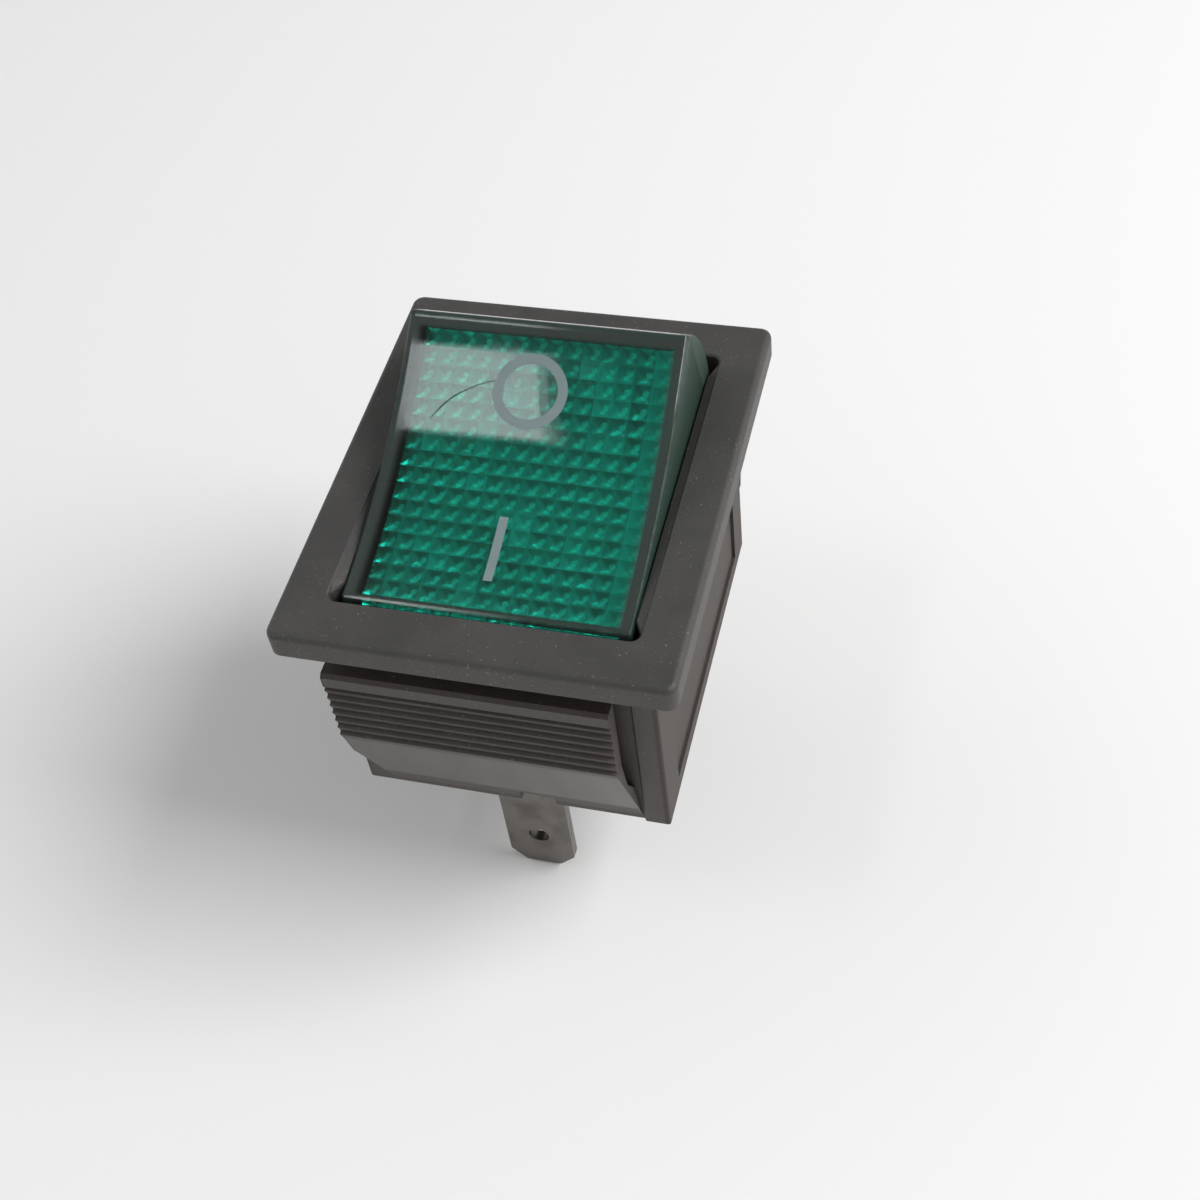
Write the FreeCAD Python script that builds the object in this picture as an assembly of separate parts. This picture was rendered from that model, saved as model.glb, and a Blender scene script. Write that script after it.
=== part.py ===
import FreeCAD, Part
import math
import os

# A lit panel rocker switch. Millimetres. The origin is the middle of the plane on which the bezel
# seats on the panel. +Z points out of the panel, X runs across the switch and Y along the rocking
# direction. The I end of the rocker is at -Y and is pressed; the O end at +Y stands up.

# Bezel and the opening in it
BEZEL_WIDTH = 25.5
BEZEL_LENGTH = 31.0
BEZEL_HEIGHT = 2.1
BEZEL_CORNER = 0.8
BEZEL_EDGE_ROUND = 0.45
BEZEL_UNDER_BEVEL = 0.2
OPENING_LENGTH = 24.4
OPENING_CORNER = 0.6
OPENING_EDGE_BEVEL = 0.12

# Box that hangs behind the panel
SIDE_WALL = 0.85
END_WALL = 0.55
END_STEP = 0.2
BODY_DEPTH = 16.8
BODY_CORNER = 0.35
FLOOR = 1.6
POST_WIDTH = 1.75
POST_RISE = 0.2

# Plain label field sunk into both long sides
LABEL_LENGTH = 19.6
LABEL_TOP = -3.2
LABEL_BOTTOM = -15.5
LABEL_SINK = 0.22

# Snap wings on both short ends
WING_GAP = 0.9
WING_THICKNESS = 0.95
WING_FLUSH_SIDE = 0.25
WING_OPEN_SIDE = 2.55
WING_SPREAD = 0.8
WING_TOP = -2.6
WING_LIP = 1.4
RIB_COUNT = 7
RIB_PITCH = 0.8
RIB_DEPTH = 0.25
WING_FOOT = 0.4
WING_ROOT = 3.2
WING_CORNER_CUT = 2.0
WING_CORNER_CUT_HEIGHT = 4.4
FOOT_NOTCH_PLACE = 1.5
FOOT_NOTCH_WIDTH = 2.4
FOOT_NOTCH_HEIGHT = 1.1
FOOT_NOTCH_DEPTH = 0.8

# Rocker: its ends are arcs about the pivot, and its top is hollowed by one wide arc
PIVOT_Z = -0.9
TILT = 21.0
ROCKER_WIDTH = 18.3
ROCKER_SIDE_GAP = 0.65
END_RADIUS = 11.75
CORNER_ANGLE = 33.6
RIM_ANGLE = 10.0
TOP_SAG = 1.35
LENS_TOP = 1.4
LENS_SIDE = 0.95
LENS_END = 1.0
LENS_EDGE_BEVEL = 0.25
PRISM_COLUMNS = 14
PRISM_ROWS = 16
PRISM_BORDER = 0.85
PRISM_HEIGHT = 0.65
PRISM_ROOT = 0.06

# Carrier that the lens clips onto
SEAT_GAP = 0.05
CARRIER_FLOOR_TOP = -1.4
CARRIER_FLOOR = 1.0
CARRIER_HALF_LENGTH = 8.5
CARRIER_WALL = 0.9
CARRIER_SIDE_TOP = 1.7
CARRIER_END_TOP = 0.3
TRUNNION_RADIUS = 1.25
RUNNING_GAP = 0.06
TRUNNION_END_GAP = 0.1
NOTCH_GAP = 0.15
TUBE_RADIUS = 2.4
TUBE_BORE = 1.6
TUBE_BOTTOM = -6.4
TUBE_TOP = 1.9
TUBE_CAP = 0.8

# Plunger and its spring, in the carrier's tube
PLUNGER_REACH = 9.5
PLUNGER_GAP = 0.08
PLUNGER_HEAD = -2.6
PLUNGER_SPRING_WIRE = 0.3
PLUNGER_SPRING_RADIUS = 1.1
PLUNGER_SPRING_TURNS = 4
COIL_STEPS = 11
WIRE_SIDES = 6

# Contact bar that rocks on the middle terminal
BAR_TILT = 8.0
BAR_THICKNESS = 0.6
BAR_WING_ANGLE = 20.5
BAR_WING = 4.2
BAR_HALF_LENGTH = 9.0
BAR_HALF_WIDTH = 3.1
BAR_NECK_HALF_WIDTH = 2.5
BAR_NECK_HALF_LENGTH = 0.95
BAR_END_ROUND = 1.0
PLUNGER_TIP_GAP = 0.27
CONTACT_PLACE = 6.8

# Contact rivets
RIVET_RADIUS = 1.5
RIVET_HEIGHT = 0.7
RIVET_BEVEL = 0.2
RIVET_SHANK = 0.8
RIVET_TAIL_RADIUS = 1.2
RIVET_TAIL = 0.25
CONTACT_GAP = 0.06

# Terminals: flat tabs in line, wide across the switch
TAB_WIDTH = 4.75
TAB_THICKNESS = 0.8
TAB_PITCH = 10.2
TAB_TIP = -28.4
TAB_TAPER = 1.3
TAB_TAPER_HEIGHT = 1.4
TAB_HOLE_RADIUS = 0.75
TAB_HOLE_FROM_TIP = 3.8
TAB_EDGE_BEVEL = 0.2
SHOULDER_WIDTH = 6.6
SHOULDER_HEIGHT = 1.2
SLOT_GAP = 0.06
SLOT_RELIEF = 0.4
SLOT_RELIEF_MARGIN = 1.0
EAR_WIDTH = 0.9
EAR_GAP = 0.25
EAR_HEIGHT = 1.6
FULCRUM_GAP = 0.05
FLANGE_REACH = 4.4
FLANGE_BEND = 0.5
STOP_GAP = 0.12
STOP_HALF_WIDTH = 2.0
STOP_LENGTH = 2.0

# Lamp, resistor and the leads and springs that feed them
BULB_TUBE_GAP = 1.2
BULB_WALL_GAP = 0.25
BULB_START = -4.0
BULB_LENGTH = 8.6
BULB_TIP = 0.9
BULB_TIP_RADIUS = 0.7
BULB_SHOULDER = 1.1
BULB_NECK_RADIUS = 1.2
BULB_NECK = 0.9
BULB_PIN_HALF = 0.6
CRADLE_GAP = 0.06
CRADLE_THICKNESS = 0.8
CRADLE_SPREAD = 2.6
CRADLE_RISE = 1.2
CRADLE_SIDE = 0.7
LAMP_SPRING_INSET = 2.05
RESISTOR_RADIUS = 1.2
RESISTOR_WAIST = 0.95
RESISTOR_LENGTH = 6.3
RESISTOR_CAP = 1.3
LEAD_RADIUS = 0.22
LEAD_BEND = 0.7
LEAD_CROSS_Y = -5.6
SLEEVE_RADIUS = 0.45
SLEEVE_GAP = 0.03
SLEEVE_START = 0.12
LAMP_SPRING_Y = 6.6
LAMP_SPRING_RADIUS = 0.8
LAMP_SPRING_WIRE = 0.3
FRONT_SPRING_TURNS = 4
REAR_SPRING_TURNS = 6
PAD_HALF = 1.25
PAD_FOOT_Y = 7.1
LEAD_HOLE_RADIUS = 0.6

# Places worked out from the sizes
OPENING_WIDTH = ROCKER_WIDTH + 2 * ROCKER_SIDE_GAP
BODY_WIDTH = OPENING_WIDTH + 2 * SIDE_WALL
CAVITY_LENGTH = OPENING_LENGTH - 2 * END_STEP
BODY_LENGTH = CAVITY_LENGTH + 2 * END_WALL
FLOOR_TOP = FLOOR - BODY_DEPTH
TIP_RADIUS = TUBE_BORE - PLUNGER_GAP
TIP_CENTRE = PLUNGER_REACH - TIP_RADIUS
WING_SLOPE = math.tan(math.radians(BAR_WING_ANGLE))
FLAT_SLOPE = math.tan(math.radians(BAR_TILT))
BAR_APEX = BAR_THICKNESS / math.cos(math.radians(BAR_WING_ANGLE))
TIP_ABOVE_APEX = (TIP_RADIUS + PLUNGER_TIP_GAP) / math.cos(math.radians(BAR_WING_ANGLE))
FULCRUM_Z = PIVOT_Z - TIP_CENTRE - TIP_ABOVE_APEX - BAR_APEX
BEND_HEIGHT = BAR_APEX + BAR_WING * WING_SLOPE
LENS_INNER_HALF = ROCKER_WIDTH / 2 - LENS_SIDE
CARRIER_HALF_WIDTH = LENS_INNER_HALF - SEAT_GAP
CARRIER_INNER_HALF = CARRIER_HALF_WIDTH - CARRIER_WALL
BULB_RADIUS = (CARRIER_INNER_HALF - BULB_WALL_GAP - TUBE_RADIUS - BULB_TUBE_GAP) / 2
BULB_X = CARRIER_INNER_HALF - BULB_WALL_GAP - BULB_RADIUS
LAMP_SPRING_X = CARRIER_INNER_HALF - LAMP_SPRING_INSET
RESISTOR_X = -LAMP_SPRING_X
CORNER_Y = END_RADIUS * math.cos(math.radians(CORNER_ANGLE))
CORNER_Z = END_RADIUS * math.sin(math.radians(CORNER_ANGLE))
SAG_RADIUS = (CORNER_Y ** 2 + TOP_SAG ** 2) / (2 * TOP_SAG)
SAG_CENTRE_Z = CORNER_Z - TOP_SAG + SAG_RADIUS


def vec(x, y, z):
    return FreeCAD.Vector(x, y, z)


def block(x0, x1, y0, y1, z0, z1):
    return Part.makeBox(x1 - x0, y1 - y0, z1 - z0, vec(x0, y0, z0))


def rod(radius, start, end):
    path = end - start
    return Part.makeCylinder(radius, path.Length, start, path)


def prism(points, along):
    """A closed outline of points, pushed along a vector."""
    return flat_face(*points).extrude(along)


def flat_face(*points):
    return Part.Face(Part.makePolygon(list(points) + [points[0]]))


def solid_of(faces):
    solid = Part.Solid(Part.Shell(faces))
    if solid.Volume < 0:
        solid.reverse()
    return solid


def profile_yz(points, x0, x1):
    return prism([vec(x0, y, z) for y, z in points], vec(x1 - x0, 0, 0))


def profile_xz(points, y0, y1):
    return prism([vec(x, y0, z) for x, z in points], vec(0, y1 - y0, 0))


def rounded(shape, radius, pick):
    """Rounds the edges for which pick(edge) is true."""
    return shape.makeFillet(radius, [e for e in shape.Edges if pick(e)])


def bevelled(shape, size, pick):
    """Bevels the edges for which pick(edge) is true."""
    return shape.makeChamfer(size, [e for e in shape.Edges if pick(e)])


def edge_at_height(z):
    return lambda e: all(abs(v.Z - z) < 1e-6 for v in e.Vertexes)


def upright(e):
    a, b = e.Vertexes[0].Point, e.Vertexes[-1].Point
    return math.hypot(a.x - b.x, a.y - b.y) < 1e-6 < abs(a.z - b.z)


def rounded_block(width, length, corner, z0, z1):
    raw = block(-width / 2, width / 2, -length / 2, length / 2, z0, z1)
    return rounded(raw, corner, upright)


def turned_half_round(shape):
    return shape.rotated(vec(0, 0, 0), vec(0, 0, 1), 180)


def tilted(shape):
    """Takes a piece of the rocker from its level place to the pressed one."""
    return shape.rotated(vec(0, 0, PIVOT_Z), vec(1, 0, 0), TILT)


def tilted_point(point):
    turn = FreeCAD.Rotation(vec(1, 0, 0), TILT)
    pivot = vec(0, 0, PIVOT_Z)
    return pivot + turn.multVec(point - pivot)


def bar_closed(shape):
    """Takes the contact bar from level to the closed contact at +Y."""
    return shape.rotated(vec(0, 0, FULCRUM_Z), vec(1, 0, 0), -BAR_TILT)


def bar_point(y, z):
    turn = FreeCAD.Rotation(vec(1, 0, 0), -BAR_TILT)
    return vec(0, 0, FULCRUM_Z) + turn.multVec(vec(0, y, z))


def rail(points, bend):
    """A path of straight runs joined by tangent arcs of one radius."""
    edges = []
    start = points[0]
    for before, corner, after in zip(points, points[1:], points[2:]):
        a = (before - corner).normalize()
        b = (after - corner).normalize()
        half = a.getAngle(b) / 2
        back = bend / math.tan(half)
        middle = (a + b).normalize() * (bend / math.sin(half) - bend)
        edges.append(Part.LineSegment(start, corner + a * back).toShape())
        edges.append(Part.Arc(corner + a * back, corner + middle, corner + b * back).toShape())
        start = corner + b * back
    edges.append(Part.LineSegment(start, points[-1]).toShape())
    return Part.Wire(edges)


def polygon_corner(radius):
    """Corner distance of the polygon that has a round wire's area."""
    turn = 2 * math.pi / WIRE_SIDES
    return radius * math.sqrt(turn / math.sin(turn))


def wire_along(points, radius, bend):
    path = rail(points, bend)
    along = (points[1] - points[0]).normalize()
    side = along.cross(vec(1, 0, 0)).normalize() * polygon_corner(radius)
    turns = [FreeCAD.Rotation(along, 360 * n / WIRE_SIDES) for n in range(WIRE_SIDES + 1)]
    ring = Part.makePolygon([points[0] + turn.multVec(side) for turn in turns])
    return path.makePipeShell([ring], True, False)


def coil(start, end, end_seat, radius, wire, turns):
    """A helical spring from a level seat to one whose normal is end_seat, clear of both."""
    axis = end - start
    out = radius + wire / 2
    low = wire / 2 + out * math.tan(axis.getAngle(vec(0, 0, 1)))
    high = wire / 2 + out * math.tan(axis.getAngle(end_seat))
    rise = axis.Length - low - high
    corner = polygon_corner(wire / 2)
    count = COIL_STEPS * turns
    lean = math.atan2(rise, 2 * math.pi * radius * turns)
    sections = []
    for k in range(count + 1):
        turn = FreeCAD.Rotation(vec(0, 0, 1), math.degrees(2 * math.pi * k / COIL_STEPS))
        ring = []
        for n in range(WIRE_SIDES):
            a = 2 * math.pi * n / WIRE_SIDES
            side = corner * math.sin(a)
            point = vec(radius + corner * math.cos(a), -side * math.sin(lean), side * math.cos(lean))
            ring.append(turn.multVec(point) + vec(0, 0, low + rise * k / count))
        sections.append(ring)
    faces = [flat_face(*sections[0]), flat_face(*sections[-1])]
    for before, after in zip(sections, sections[1:]):
        for n in range(WIRE_SIDES):
            m = (n + 1) % WIRE_SIDES
            faces += [flat_face(before[n], before[m], after[m]), flat_face(before[n], after[m], after[n])]
    spring = solid_of(faces)
    return spring.transformed(FreeCAD.Placement(start, FreeCAD.Rotation(vec(0, 0, 1), axis)).toMatrix())


def rivet(place, head_up):
    """A contact rivet: bevelled head, shank and spread tail. place is where the head meets the strip."""
    strip = TAB_THICKNESS if head_up else BAR_THICKNESS
    sign = 1 if head_up else -1
    points = [(0, -strip - RIVET_TAIL), (RIVET_TAIL_RADIUS, -strip - RIVET_TAIL),
              (RIVET_TAIL_RADIUS, -strip), (RIVET_SHANK, -strip), (RIVET_SHANK, 0), (RIVET_RADIUS, 0),
              (RIVET_RADIUS, RIVET_HEIGHT - RIVET_BEVEL), (RIVET_RADIUS - RIVET_BEVEL, RIVET_HEIGHT),
              (0, RIVET_HEIGHT)]
    section = flat_face(*[vec(r, 0, sign * z) for r, z in points])
    return section.revolve(vec(0, 0, 0), vec(0, 0, 1), 360).translated(place)


def bezel():
    frame = rounded_block(BEZEL_WIDTH, BEZEL_LENGTH, BEZEL_CORNER, 0, BEZEL_HEIGHT)
    frame = rounded(frame, BEZEL_EDGE_ROUND, edge_at_height(BEZEL_HEIGHT))
    frame = bevelled(frame, BEZEL_UNDER_BEVEL, edge_at_height(0))
    opening = rounded_block(OPENING_WIDTH, OPENING_LENGTH, OPENING_CORNER, -1, BEZEL_HEIGHT + 1)
    frame = frame.cut(opening)
    inside = OPENING_LENGTH / 2 + 0.01

    def rim(e):
        on_top = all(abs(v.Z - BEZEL_HEIGHT) < 1e-6 for v in e.Vertexes)
        return on_top and all(abs(v.Y) < inside and abs(v.X) < OPENING_WIDTH / 2 + 0.01 for v in e.Vertexes)

    return bevelled(frame, OPENING_EDGE_BEVEL, rim)


def body_box():
    outer = rounded_block(BODY_WIDTH, BODY_LENGTH, BODY_CORNER, -BODY_DEPTH, BEZEL_UNDER_BEVEL)
    post = block(BODY_WIDTH / 2 - POST_WIDTH, BODY_WIDTH / 2, -BODY_LENGTH / 2 - POST_RISE, 0,
                 -BODY_DEPTH, BEZEL_UNDER_BEVEL)
    post = rounded(post, BODY_CORNER / 2, upright)
    outer = outer.fuse([post, turned_half_round(post)])
    cavity = rounded_block(OPENING_WIDTH, CAVITY_LENGTH, OPENING_CORNER, FLOOR_TOP, BEZEL_HEIGHT)
    field = block(BODY_WIDTH / 2 - LABEL_SINK, BODY_WIDTH, -LABEL_LENGTH / 2, LABEL_LENGTH / 2,
                  LABEL_BOTTOM, LABEL_TOP)
    return outer.cut([cavity, field, turned_half_round(field)])


def wing():
    """The snap wing at -Y: a lip, saw-tooth ribs and a smooth ramp down to its root."""
    wall = -BODY_LENGTH / 2
    inner = wall - WING_GAP
    face = inner - WING_THICKNESS
    ribs_top = WING_TOP - WING_LIP
    ribs_bottom = ribs_top - RIB_COUNT * RIB_PITCH
    foot = WING_FOOT - BODY_DEPTH
    root = foot + WING_ROOT
    outline = [(inner, WING_TOP), (face, WING_TOP), (face - RIB_DEPTH, WING_TOP - RIB_DEPTH),
               (face - RIB_DEPTH, ribs_top + RIB_DEPTH), (face, ribs_top)]
    for k in range(RIB_COUNT):
        top = ribs_top - k * RIB_PITCH
        outline += [(face - RIB_DEPTH, top - RIB_DEPTH / 2), (face, top - RIB_PITCH)]
    outline += [(wall, foot), (wall + END_WALL / 2, foot), (wall + END_WALL / 2, root),
                (wall, root), (inner, root + WING_ROOT / 2)]
    left = WING_FLUSH_SIDE - BODY_WIDTH / 2
    right = BODY_WIDTH / 2 - WING_OPEN_SIDE
    blade = profile_yz(outline, left, right + WING_SPREAD)
    cut_top = foot + WING_CORNER_CUT_HEIGHT
    front = [(left, WING_TOP + 1), (left, cut_top), (left + WING_CORNER_CUT, foot - 1),
             (right + WING_SPREAD, foot - 1), (right, ribs_bottom), (right, WING_TOP + 1)]
    return blade.common(profile_xz(front, 2 * wall, 0))


def foot_notch():
    x = FOOT_NOTCH_PLACE
    half = FOOT_NOTCH_WIDTH / 2
    return block(x - half, x + half, -BODY_LENGTH, FOOT_NOTCH_DEPTH - BODY_LENGTH / 2,
                 -BODY_DEPTH - 1, FOOT_NOTCH_HEIGHT - BODY_DEPTH)


def terminal_slot(y):
    half = TAB_WIDTH / 2 + SLOT_GAP
    thick = TAB_THICKNESS / 2 + SLOT_GAP
    slot = block(-half, half, y - thick, y + thick, -BODY_DEPTH - 1, FLOOR_TOP + 1)
    wide = half + SLOT_RELIEF_MARGIN
    long = thick + SLOT_RELIEF_MARGIN
    relief = block(-wide, wide, y - long, y + long, -BODY_DEPTH - 1, -BODY_DEPTH + SLOT_RELIEF)
    return slot.fuse(relief)


def bar_stop():
    """The ledge on which the contact bar's free end rests when the switch is off."""
    flat = bar_point(CONTACT_PLACE, bar_height(CONTACT_PLACE) - BAR_THICKNESS)
    top = flat.z - STOP_GAP
    return block(-STOP_HALF_WIDTH, STOP_HALF_WIDTH, -flat.y - STOP_LENGTH / 2, -flat.y + STOP_LENGTH / 2,
                 FLOOR_TOP - FLOOR / 2, top)


def housing():
    solid = bezel().fuse([body_box(), wing(), turned_half_round(wing()), bar_stop()])
    bore = TRUNNION_RADIUS + RUNNING_GAP
    bores = rod(bore, vec(-BODY_WIDTH / 2, 0, PIVOT_Z), vec(BODY_WIDTH / 2, 0, PIVOT_Z))
    slots = [terminal_slot(y) for y in (-TAB_PITCH, 0, TAB_PITCH)]
    notches = [foot_notch(), turned_half_round(foot_notch())]
    return solid.cut([bores] + slots + notches).removeSplitter()


def rocker_face(end_radius, top_drop, rim_angle, x):
    """The rocker's side outline, level, at x: two end arcs, a hollow top and a straight rim."""
    def polar(angle):
        a = math.radians(angle)
        return end_radius * math.cos(a), end_radius * math.sin(a)

    sag = SAG_RADIUS + top_drop
    # Where the hollow top's arc meets the end arc
    gap = SAG_CENTRE_Z
    up = (gap ** 2 + end_radius ** 2 - sag ** 2) / (2 * gap)
    corner = (math.sqrt(end_radius ** 2 - up ** 2), up)
    low = polar(-rim_angle)
    middle_angle = (math.degrees(math.atan2(corner[1], corner[0])) - rim_angle) / 2
    middle = polar(middle_angle)
    dip = SAG_CENTRE_Z - sag

    def at(y, z):
        return vec(x, y, z + PIVOT_Z)

    edges = [Part.Arc(at(*low), at(*middle), at(*corner)).toShape(),
             Part.Arc(at(*corner), at(0, dip), at(-corner[0], corner[1])).toShape(),
             Part.Arc(at(-corner[0], corner[1]), at(-middle[0], middle[1]), at(-low[0], low[1])).toShape(),
             Part.LineSegment(at(-low[0], low[1]), at(*low)).toShape()]
    return Part.Face(Part.Wire(edges))


def prism_rows():
    """Rows of four-sided pyramids under the lens's top, each row square to the hollow arc."""
    radius = SAG_RADIUS + LENS_TOP
    pitch = (ROCKER_WIDTH - 2 * PRISM_BORDER) / PRISM_COLUMNS
    left = -pitch * PRISM_COLUMNS / 2
    step = 2 * math.asin((CORNER_Y - PRISM_BORDER) / SAG_RADIUS) / PRISM_ROWS
    half_y = radius * math.tan(step / 2)
    teeth = []
    for k in range(PRISM_COLUMNS):
        teeth += [(left + k * pitch, 0), (left + (k + 0.5) * pitch, -PRISM_HEIGHT)]
    comb = profile_xz(teeth + [(-left, 0), (-left, PRISM_ROOT), (left, PRISM_ROOT)], -half_y, half_y)
    ridge = profile_yz([(-half_y, 0), (0, -PRISM_HEIGHT), (half_y, 0), (half_y, PRISM_ROOT),
                        (-half_y, PRISM_ROOT)], left, -left)
    row = comb.common(ridge).translated(vec(0, 0, PIVOT_Z + SAG_CENTRE_Z - radius))
    centre = vec(0, 0, PIVOT_Z + SAG_CENTRE_Z)
    angles = [math.degrees((k - (PRISM_ROWS - 1) / 2) * step) for k in range(PRISM_ROWS)]
    return [row.rotated(centre, vec(1, 0, 0), angle) for angle in angles]


def rocker_lens():
    half = ROCKER_WIDTH / 2
    outer = rocker_face(END_RADIUS, 0, RIM_ANGLE, -half).extrude(vec(ROCKER_WIDTH, 0, 0))

    def end_edge(e):
        return all(abs(abs(v.X) - half) < 1e-6 for v in e.Vertexes) and not on_rim(e)

    def on_rim(e):
        low = PIVOT_Z - END_RADIUS * math.sin(math.radians(RIM_ANGLE))
        return all(abs(v.Z - low) < 1e-6 for v in e.Vertexes)

    def top_end(e):
        return all(v.Z > PIVOT_Z + CORNER_Z - 0.01 for v in e.Vertexes)

    outer = bevelled(outer, LENS_EDGE_BEVEL, lambda e: end_edge(e) or top_end(e))
    inner = rocker_face(END_RADIUS - LENS_END, LENS_TOP, RIM_ANGLE + 5, -LENS_INNER_HALF)
    shell = outer.cut(inner.extrude(vec(2 * LENS_INNER_HALF, 0, 0)))
    shell = shell.fuse(prism_rows())
    notch_radius = TRUNNION_RADIUS + NOTCH_GAP
    notch = rod(notch_radius, vec(-half - 1, 0, PIVOT_Z), vec(half + 1, 0, PIVOT_Z))
    slot = block(-half - 1, half + 1, -notch_radius, notch_radius, PIVOT_Z - END_RADIUS, PIVOT_Z)
    return tilted(shell.cut([notch, slot]).removeSplitter())


def cradle(x, radius, y):
    """A rib on the carrier's floor that holds a round body."""
    z0 = PIVOT_Z + CARRIER_FLOOR_TOP
    side = radius + CRADLE_SIDE
    rib = block(x - side, x + side, y - CRADLE_THICKNESS / 2, y + CRADLE_THICKNESS / 2,
                z0 - CARRIER_FLOOR / 2, z0 + CRADLE_RISE)
    seat = rod(radius + CRADLE_GAP, vec(x, y - 1, lamp_height(radius)), vec(x, y + 1, lamp_height(radius)))
    return rib.cut(seat)


def lamp_height(radius):
    return PIVOT_Z + CARRIER_FLOOR_TOP + radius + CRADLE_GAP


def rocker_carrier():
    top = PIVOT_Z + CARRIER_FLOOR_TOP
    w = CARRIER_HALF_WIDTH
    tray = block(-w, w, -CARRIER_HALF_LENGTH, CARRIER_HALF_LENGTH, top - CARRIER_FLOOR, top)
    side = block(w - CARRIER_WALL, w, -CARRIER_HALF_LENGTH, CARRIER_HALF_LENGTH,
                 top - CARRIER_FLOOR, PIVOT_Z + CARRIER_SIDE_TOP)
    end = block(-w, w, CARRIER_HALF_LENGTH - CARRIER_WALL, CARRIER_HALF_LENGTH,
                top - CARRIER_FLOOR, PIVOT_Z + CARRIER_END_TOP)
    tube = rod(TUBE_RADIUS, vec(0, 0, PIVOT_Z + TUBE_BOTTOM), vec(0, 0, PIVOT_Z + TUBE_TOP))
    trunnions = rod(TRUNNION_RADIUS, vec(w - CARRIER_WALL, 0, PIVOT_Z),
                    vec(BODY_WIDTH / 2 - TRUNNION_END_GAP, 0, PIVOT_Z))
    ribs = [cradle(BULB_X, BULB_RADIUS, y) for y in (-CRADLE_SPREAD, CRADLE_SPREAD)]
    ribs += [cradle(RESISTOR_X, RESISTOR_RADIUS, y) for y in (-CRADLE_SPREAD / 2, CRADLE_SPREAD / 2)]
    solid = tray.fuse([side, turned_half_round(side), end, turned_half_round(end), tube,
                       trunnions, turned_half_round(trunnions)] + ribs)
    bore = rod(TUBE_BORE, vec(0, 0, PIVOT_Z + TUBE_BOTTOM - 1), vec(0, 0, PIVOT_Z + TUBE_TOP - TUBE_CAP))
    hole = rod(LEAD_HOLE_RADIUS, vec(LAMP_SPRING_X, -LAMP_SPRING_Y, top - CARRIER_FLOOR - 1),
               vec(LAMP_SPRING_X, -LAMP_SPRING_Y, top + 1))
    return tilted(solid.cut([bore, hole, turned_half_round(hole)]).removeSplitter())


def plunger():
    tip = PIVOT_Z - TIP_CENTRE
    shaft = rod(TIP_RADIUS, vec(0, 0, tip), vec(0, 0, PIVOT_Z + PLUNGER_HEAD))
    ball = Part.makeSphere(TIP_RADIUS, vec(0, 0, tip))
    return tilted(shaft.fuse(ball).removeSplitter())


def plunger_spring():
    low = vec(0, 0, PIVOT_Z + PLUNGER_HEAD)
    high = vec(0, 0, PIVOT_Z + TUBE_TOP - TUBE_CAP)
    seat = vec(0, 0, 1)
    return tilted(coil(low, high, seat, PLUNGER_SPRING_RADIUS, PLUNGER_SPRING_WIRE, PLUNGER_SPRING_TURNS))


def bar_height(y):
    """Height of the bar's upper face over the fulcrum, with the bar level."""
    y = abs(y)
    if y < BAR_WING:
        return BAR_APEX + y * WING_SLOPE
    return BEND_HEIGHT + (y - BAR_WING) * FLAT_SLOPE


def contact_bar():
    """A strip bent to a shallow V with two flats, which rocks on its lowest line."""
    upper = [(y, bar_height(y)) for y in (0, BAR_WING, BAR_HALF_LENGTH)]
    wing = math.radians(BAR_WING_ANGLE)
    flat = math.radians(BAR_TILT)
    bend = (wing + flat) / 2
    mitre = BAR_THICKNESS / math.cos((wing - flat) / 2)
    lower = [(0, 0), (BAR_WING + mitre * math.sin(bend), BEND_HEIGHT - mitre * math.cos(bend)),
             (BAR_HALF_LENGTH + BAR_THICKNESS * math.sin(flat),
              bar_height(BAR_HALF_LENGTH) - BAR_THICKNESS * math.cos(flat))]
    half = upper + lower[::-1]
    outline = half[:-1] + [(-y, z) for y, z in half[::-1][:-1]]
    outline = [(y, z + FULCRUM_Z) for y, z in outline]
    strip = profile_yz(outline, -BAR_HALF_WIDTH, BAR_HALF_WIDTH)
    ends = rounded_block(2 * BAR_HALF_WIDTH, 2 * BAR_HALF_LENGTH, BAR_END_ROUND, FULCRUM_Z - 1, FULCRUM_Z + 5)
    neck = block(BAR_NECK_HALF_WIDTH, BAR_HALF_WIDTH + 1, -BAR_NECK_HALF_LENGTH, BAR_NECK_HALF_LENGTH,
                 FULCRUM_Z - 1, FULCRUM_Z + 5)
    strip = bar_closed(strip.common(ends).cut([neck, turned_half_round(neck)]))
    place = bar_point(CONTACT_PLACE, bar_height(CONTACT_PLACE))
    return strip.cut(rod(RIVET_SHANK, place - vec(0, 0, 2), place + vec(0, 0, 1)))


def moving_contact_rivet():
    place = bar_point(CONTACT_PLACE, bar_height(CONTACT_PLACE))
    return rivet(place - vec(0, 0, BAR_THICKNESS), False)


def fixed_contact_place():
    place = bar_point(CONTACT_PLACE, bar_height(CONTACT_PLACE))
    return place - vec(0, 0, BAR_THICKNESS + 2 * RIVET_HEIGHT + CONTACT_GAP)


def fixed_contact_rivet():
    return rivet(fixed_contact_place(), True)


def tab_outline(top_left, top_right):
    """The tab's front outline up to its shoulders, joined to the points given above them."""
    half = TAB_WIDTH / 2
    tip_half = half - TAB_TAPER
    shoulder = SHOULDER_WIDTH / 2
    right = [(tip_half, TAB_TIP), (half, TAB_TIP + TAB_TAPER_HEIGHT), (half, FLOOR_TOP),
             (shoulder, FLOOR_TOP)]
    left = [(-x, z) for x, z in right[::-1]]
    return right + top_right + top_left + left


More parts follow.
